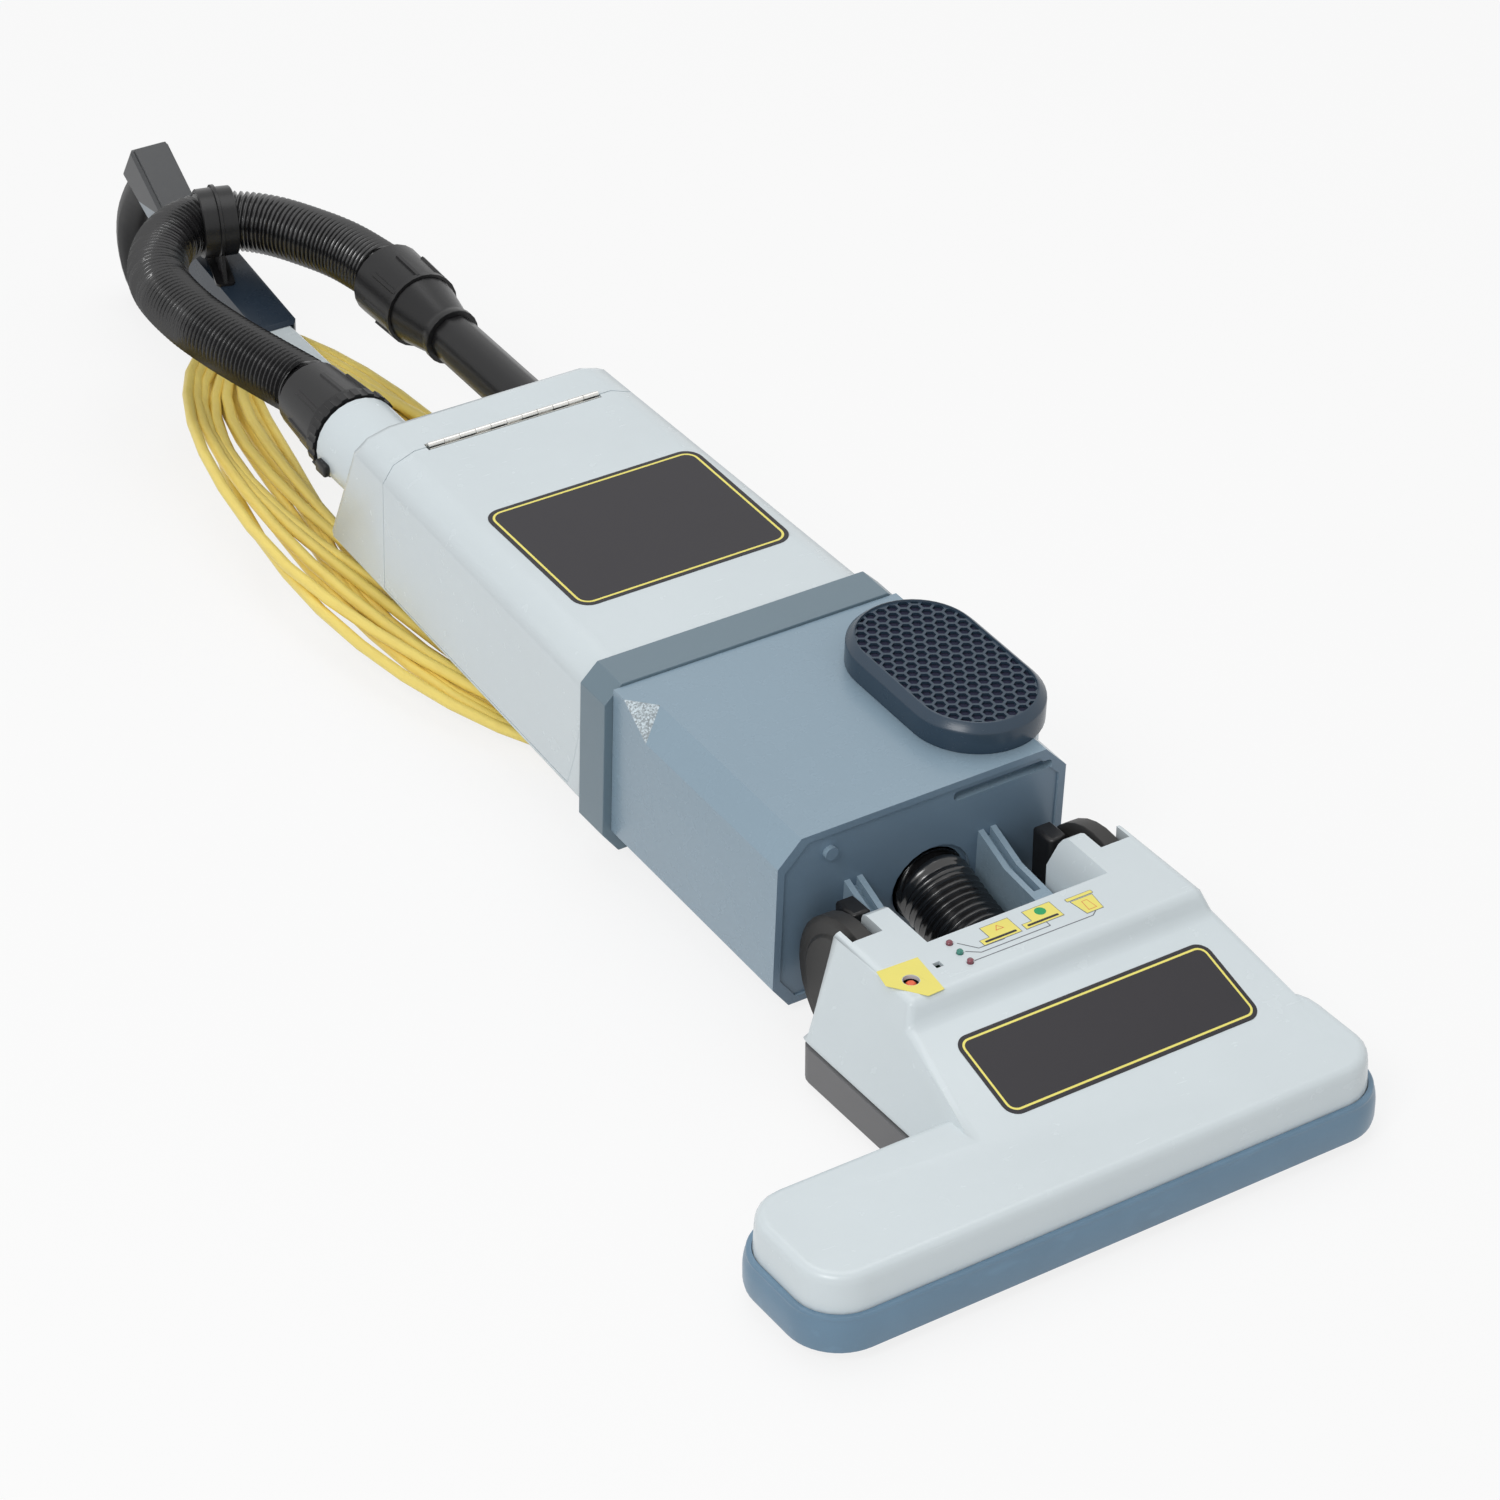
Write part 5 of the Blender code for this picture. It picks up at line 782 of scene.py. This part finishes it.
EXHAUST_X, EXHAUST_Y, EXHAUST_HALF, EXHAUST_STRAIGHT = 72.0, 85.0, 44.0, 31.0
EXHAUST_FOOT, EXHAUST_TOP, EXHAUST_RIM, EXHAUST_SUNK = 131.3, 151.0, 5.0, 1.2
EXHAUST_WALL, RIM_SOFT, RIM_ANGLES = 3, 0.7, (math.radians(30), 1.2)
HOLE_PITCH, HOLE_WIDTH, HOLE_REACH, HOLE_DEEP, HOLE_MARGIN = 8.2, 6.4, 38.8, 14, 1.2
ROW_STEP = HOLE_PITCH * math.sqrt(3) / 2


def stadium(inset):
    """The cover's outline, drawn in by an inset."""
    half = EXHAUST_HALF - inset
    return (arc((EXHAUST_X, EXHAUST_Y + EXHAUST_STRAIGHT), half, 0, 180, 24)
            + arc((EXHAUST_X, EXHAUST_Y - EXHAUST_STRAIGHT), half, 180, 360, 24))


def prism(outline, low, high):
    """An outline of (x, y) points as a solid between two heights."""
    shape = bmesh.new()
    shape.faces.new([shape.verts.new((x, y, low)) for x, y in outline])
    thicken(shape, high - low)
    return shape


def loose(name, shape):
    """A bmesh as an object that only helps to make another."""
    mesh = bpy.data.meshes.new(name)
    shape.to_mesh(mesh)
    shape.free()
    return in_scene(name, mesh)


rim = prism(stadium(0), EXHAUST_FOOT, EXHAUST_TOP)
lid = max(rim.faces, key=lambda face: face.calc_center_median().z)
bmesh.ops.bevel(
    rim, geom=lid.edges[:], offset=EXHAUST_RIM, segments=1, profile=0.5, affect="EDGES",
    material=-1)
rim.normal_update()
bmesh.ops.bevel(
    rim, geom=[
        edge for edge in rim.edges if RIM_ANGLES[0] < edge.calc_face_angle() < RIM_ANGLES[1]],
    offset=RIM_SOFT, segments=2, profile=0.5, affect="EDGES", material=-1)
rim.normal_update()
lid = max(rim.faces, key=lambda face: (round(face.calc_center_median().z, 3), face.calc_area()))
bmesh.ops.inset_region(rim, faces=[lid], thickness=0.4)
bmesh.ops.translate(rim, vec=(0, 0, -EXHAUST_SUNK), verts=lid.verts)
holes = bmesh.new()
for row in range(-11, 12):
    for column in range(-6, 7):
        x = (column + 0.5 * (row % 2)) * HOLE_PITCH
        y = row * ROW_STEP
        if math.hypot(x, max(abs(y) - EXHAUST_STRAIGHT, 0)) > HOLE_REACH:
            continue
        bmesh.ops.create_cone(
            holes, cap_ends=True, segments=6, radius1=HOLE_WIDTH / math.sqrt(3),
            radius2=HOLE_WIDTH / math.sqrt(3), depth=HOLE_DEEP,
            matrix=Matrix.Translation((EXHAUST_X + x, EXHAUST_Y + y, EXHAUST_TOP)))
grille = loose("exhaust_rim", rim)
hollow = loose("exhaust_hollow", prism(
    stadium(EXHAUST_WALL), EXHAUST_FOOT - 5, EXHAUST_TOP - EXHAUST_WALL))
pattern = loose("exhaust_holes", holes)
field = loose("exhaust_field", prism(
    stadium(EXHAUST_RIM + HOLE_MARGIN), EXHAUST_TOP - 9, EXHAUST_TOP + 9))
for target, operation, tool in (
        (pattern, "INTERSECT", field), (grille, "DIFFERENCE", hollow),
        (grille, "DIFFERENCE", pattern)):
    modifier = target.modifiers.new(tool.name, "BOOLEAN")
    modifier.operation = operation
    modifier.solver = "EXACT"
    modifier.object = tool
exhaust = as_shape(grille, hollow, pattern, field)
bmesh.ops.transform(exhaust, matrix=BODY, verts=exhaust.verts)
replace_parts(piece("exhaust_grille", exhaust, [NAVY], "main_body", 30), "exhaust_cover")

# Hose clip: a band with a fin round it, and a web down to a foot on the sleeve

CLIP_PLACE = (
    BODY @ Matrix.Translation((-4, 899, 75)) @ Matrix.Rotation(math.radians(-15), 4, "Z"))
CLIP_SIDE = (
    CLIP_PLACE @ Matrix.Rotation(QUARTER_TURN, 4, "Z") @ Matrix.Rotation(QUARTER_TURN, 4, "X"))
CLIP_FOOT = (
    BODY @ Matrix.Translation((-4, 899, 41.7)) @ Matrix.Rotation(math.radians(7.7), 4, "X")
    @ Matrix.Rotation(math.radians(75), 4, "Z"))
turned("clip_band", [
    (-13, 22.4), (13, 22.4), (13, 24.4), (12.2, 25.2), (1.7, 25.4), (1.1, 27.2), (-1.1, 27.2),
    (-1.7, 25.4), (-12.2, 25.2), (-13, 24.4)], CLIP_PLACE, BLACK, "main_body")
clip_web = sticker("clip_web", [
    (9, -23.5), (9, -31.8), (-27, -36.8), (-28.5, -35), (-21, -14), (-12, -21.6)],
    CLIP_SIDE @ Matrix.Translation((0, 0, -1.4)), [BLACK], "main_body", thick=2.8)
sticker("clip_foot", rounded(-30, 12, -7, 7, 3), CLIP_FOOT, [BLACK], "main_body", thick=2)
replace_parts(clip_web, "hose_clip")

# Latch tab on the hose port

TAB_PLACE = BODY @ Matrix.Translation((-90.5, 579, 68)) @ Matrix.Diagonal((5, 13, 9, 1))
tab = bmesh.new()
bmesh.ops.create_cube(tab, size=1, matrix=TAB_PLACE)
bmesh.ops.bevel(
    tab, geom=tab.edges[:], offset=0.0015, segments=3, profile=0.5, affect="EDGES", material=-1)
piece("port_tab", tab, [BLACK], "main_body")

# Labels and signs, all plain

LABEL_INKS = [CHARCOAL_INK, YELLOW_INK, CHARCOAL_INK]
SIGN_INKS = [GREY_INK, YELLOW_INK]
sticker(
    "hood_label", rounded(-24, 155, 73, 132, 9), HOOD_FACE, LABEL_INKS, "head", (2.6, 1.4), 0.25)
sticker(
    "door_label", rounded(-76, 84, 268, 392, 12), DOOR_FACE, LABEL_INKS, "bag_door", (3, 1.6),
    0.25)
reset_sheet = drawn("reset_sheet", [
    [(-38, 188), (-10, 187), (-14, 154), (-25.5, 153.5), (-41, 174)],
    arc((-25.5, 171), 5.3, 0, 350, 35)])
reset_sheet.data.dimensions = "2D"
reset_sheet.data.fill_mode = "BOTH"
reset_sheet.data.extrude = 0.1
reset_sign = as_shape(reset_sheet)
bmesh.ops.transform(reset_sign, matrix=PANEL_FACE, verts=reset_sign.verts)
piece("reset_sign", reset_sign, [YELLOW_INK], "head")


def nozzle_sign(name, x, y):
    """A plain picture of a cleaning head: a block on a wide strip with a row of bristles."""
    sticker(name, [
        (x - 14, y - 5.5), (x + 13, y - 5.5), (x + 13, y + 10), (x - 7, y + 10), (x - 7, y),
        (x - 14, y)], PANEL_FACE, SIGN_INKS, "head", (0.35,))
    sticker(
        name + "_bristles", rounded(x - 11.5, x + 10.5, y - 3.8, y - 2, 0.6), PANEL_FACE,
        [CHARCOAL_INK], "head", lift=0.15, thick=0.06)


nozzle_sign("brush_sign", 43, 181)
nozzle_sign("power_sign", 73, 181)
sticker(
    "brush_sign_mark", [(43, 184), (49, 184), (46, 188.5)], PANEL_FACE, [RED_INK, YELLOW_INK],
    "head", (0.5,), 0.06, 0.15)
sticker(
    "power_sign_dot", arc((76, 186), 3.6, 0, 345, 23), PANEL_FACE, [GREEN_INK], "head",
    thick=0.06, lift=0.15)
sticker(
    "bag_sign", [(98, 169.5), (110, 169.5), (112, 184), (96, 184)], PANEL_FACE, SIGN_INKS,
    "head", (0.35,))
sticker(
    "bag_sign_lid", rounded(94.5, 113.5, 184.6, 187.8, 0.8), PANEL_FACE, SIGN_INKS, "head",
    (0.35,))
sticker(
    "bag_sign_mark", [(101, 172), (107, 172), (106, 181), (102, 181)], PANEL_FACE,
    [RED_INK, YELLOW_INK], "head", (0.4,), 0.06, 0.15)


def sign_line(name, points):
    """A thin printed line through points on the panel."""
    for index, (a, b) in enumerate(zip(points, points[1:])):
        start = Vector((*a, 0))
        end = Vector((*b, 0))
        side = Vector((0, 0, 1)).cross(end - start).normalized() * 0.3
        sticker(f"{name}_{index}", [
            tuple(corner.xy) for corner in (start - side, end - side, end + side, start + side)],
            PANEL_FACE, [GREY_INK], "head", thick=0.08)


sign_line("brush_line", [(17, 186), (25, 175.5), (43, 175.2), (43, 175.5)])
sign_line("power_line", [(16.5, 177), (24, 171.5), (73, 171.5), (73, 175.5)])
sign_line("bag_line", [(16, 167), (100, 166.5), (104, 169.4)])

# Brush roll: a core with spiral rows of tufts

ROLL_AXIS = Vector((0, 45, 26))
TUFT_ROWS, TUFTS_IN_ROW, TUFT_TWIST = 4, 42, math.radians(240)
TUFTS_LEFT, TUFTS_RUN, TUFT_HEIGHT = -176, 343, 17.3
roll = bmesh.new()


def roll_cylinder(left, right, radius, sides=32):
    middle = Matrix.Translation(ROLL_AXIS + Vector(((left + right) / 2, 0, 0)))
    bmesh.ops.create_cone(
        roll, cap_ends=True, segments=sides, radius1=radius, radius2=radius,
        depth=right - left, matrix=middle @ Matrix.Rotation(QUARTER_TURN, 4, "Y"))


roll_cylinder(-178.4, 169.1, 14)
roll_cylinder(169.2, 178.4, 12)
roll_cylinder(-184.4, 184.4, 4, sides=16)
for row in range(TUFT_ROWS):
    for index in range(TUFTS_IN_ROW):
        share = (index + 0.5) / TUFTS_IN_ROW
        x = TUFTS_LEFT + TUFTS_RUN * share
        turn = TUFT_TWIST * (0.5 - abs(share - 0.5)) + row * QUARTER_TURN
        spot = (
            Matrix.Translation(ROLL_AXIS + Vector((x, 0, 0))) @ Matrix.Rotation(turn, 4, "X")
            @ Matrix.Rotation(-QUARTER_TURN, 4, "X") @ Matrix.Translation((0, 0, TUFT_HEIGHT)))
        tuft = bmesh.ops.create_cone(
            roll, cap_ends=True, segments=7, radius1=2.1, radius2=3.3, depth=8, matrix=spot)
        for vertex in tuft["verts"]:
            for patch in vertex.link_faces:
                patch.material_index = 1
bmesh.ops.transform(roll, matrix=HEAD, verts=roll.verts)
brush_roll = piece("brush_roll_tufts", roll, [BLACK, BRISTLE], "brush_roll")
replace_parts(brush_roll, "brush_roll")

# Light and ground

FLOOR_GLOW = 0.82
WORLD_LIGHT, WORLD_SEEN = 0.48, 1.0


def plainly_seen(tree):
    """1 for a ray from the camera, off a gloss or through glass, and 0 for the rest."""
    paths = tree.nodes.new("ShaderNodeLightPath")
    seen = paths.outputs["Is Camera Ray"]
    for kind in ("Is Glossy Ray", "Is Transmission Ray"):
        either = tree.nodes.new("ShaderNodeMath")
        either.operation = "MAXIMUM"
        tree.links.new(seen, either.inputs[0])
        tree.links.new(paths.outputs[kind], either.inputs[1])
        seen = either.outputs[0]
    return seen


ground = bmesh.new()
bmesh.ops.create_grid(ground, x_segments=1, y_segments=1, size=20)
floor = piece("floor", ground, [], None)
paint = Finish("floor_paint", Roughness=0.7)
cloud = paint.noise(3, 3)
paint.vary("Base Color", paint.mix(cloud, (0.80, 0.80, 0.80, 1), (0.84, 0.84, 0.84, 1)))
glow = paint.node("Emission", inputs={"Color": (1, 1, 1, 1), "Strength": 1.0})
seen = Value(paint, plainly_seen(paint.tree))
blended = paint.node("MixShader", inputs={
    0: seen * FLOOR_GLOW, 1: Value(paint, paint.shader.outputs[0]), 2: glow})
paint.tree.links.new(blended.socket, paint.tree.nodes["Material Output"].inputs["Surface"])
floor.data.materials.append(paint.material)

world = bpy.data.worlds.new("studio")
world.use_nodes = True
SCENE.world = world
sky = world.node_tree.nodes
strength = sky.new("ShaderNodeMapRange")
strength.inputs["To Min"].default_value = WORLD_LIGHT
strength.inputs["To Max"].default_value = WORLD_SEEN
world.node_tree.links.new(plainly_seen(world.node_tree), strength.inputs["Value"])
world.node_tree.links.new(strength.outputs[0], sky["Background"].inputs["Strength"])
sky["Background"].inputs["Color"].default_value = (1, 1, 1, 1)


def softbox(name, place, target, size, watts):
    lamp = bpy.data.lights.new(name, "AREA")
    lamp.energy = watts
    lamp.size = size
    made = in_scene(name, lamp)
    made.location = place
    made.rotation_euler = (Vector(target) - Vector(place)).to_track_quat("-Z", "Y").to_euler()


softbox("key", (-2.0, -1.5, 2.5), (0, -0.1, 0.1), 1.2, 38)
softbox("overhead", (0.5, 0.6, 3.0), (0, 0, 0.1), 2.2, 24)
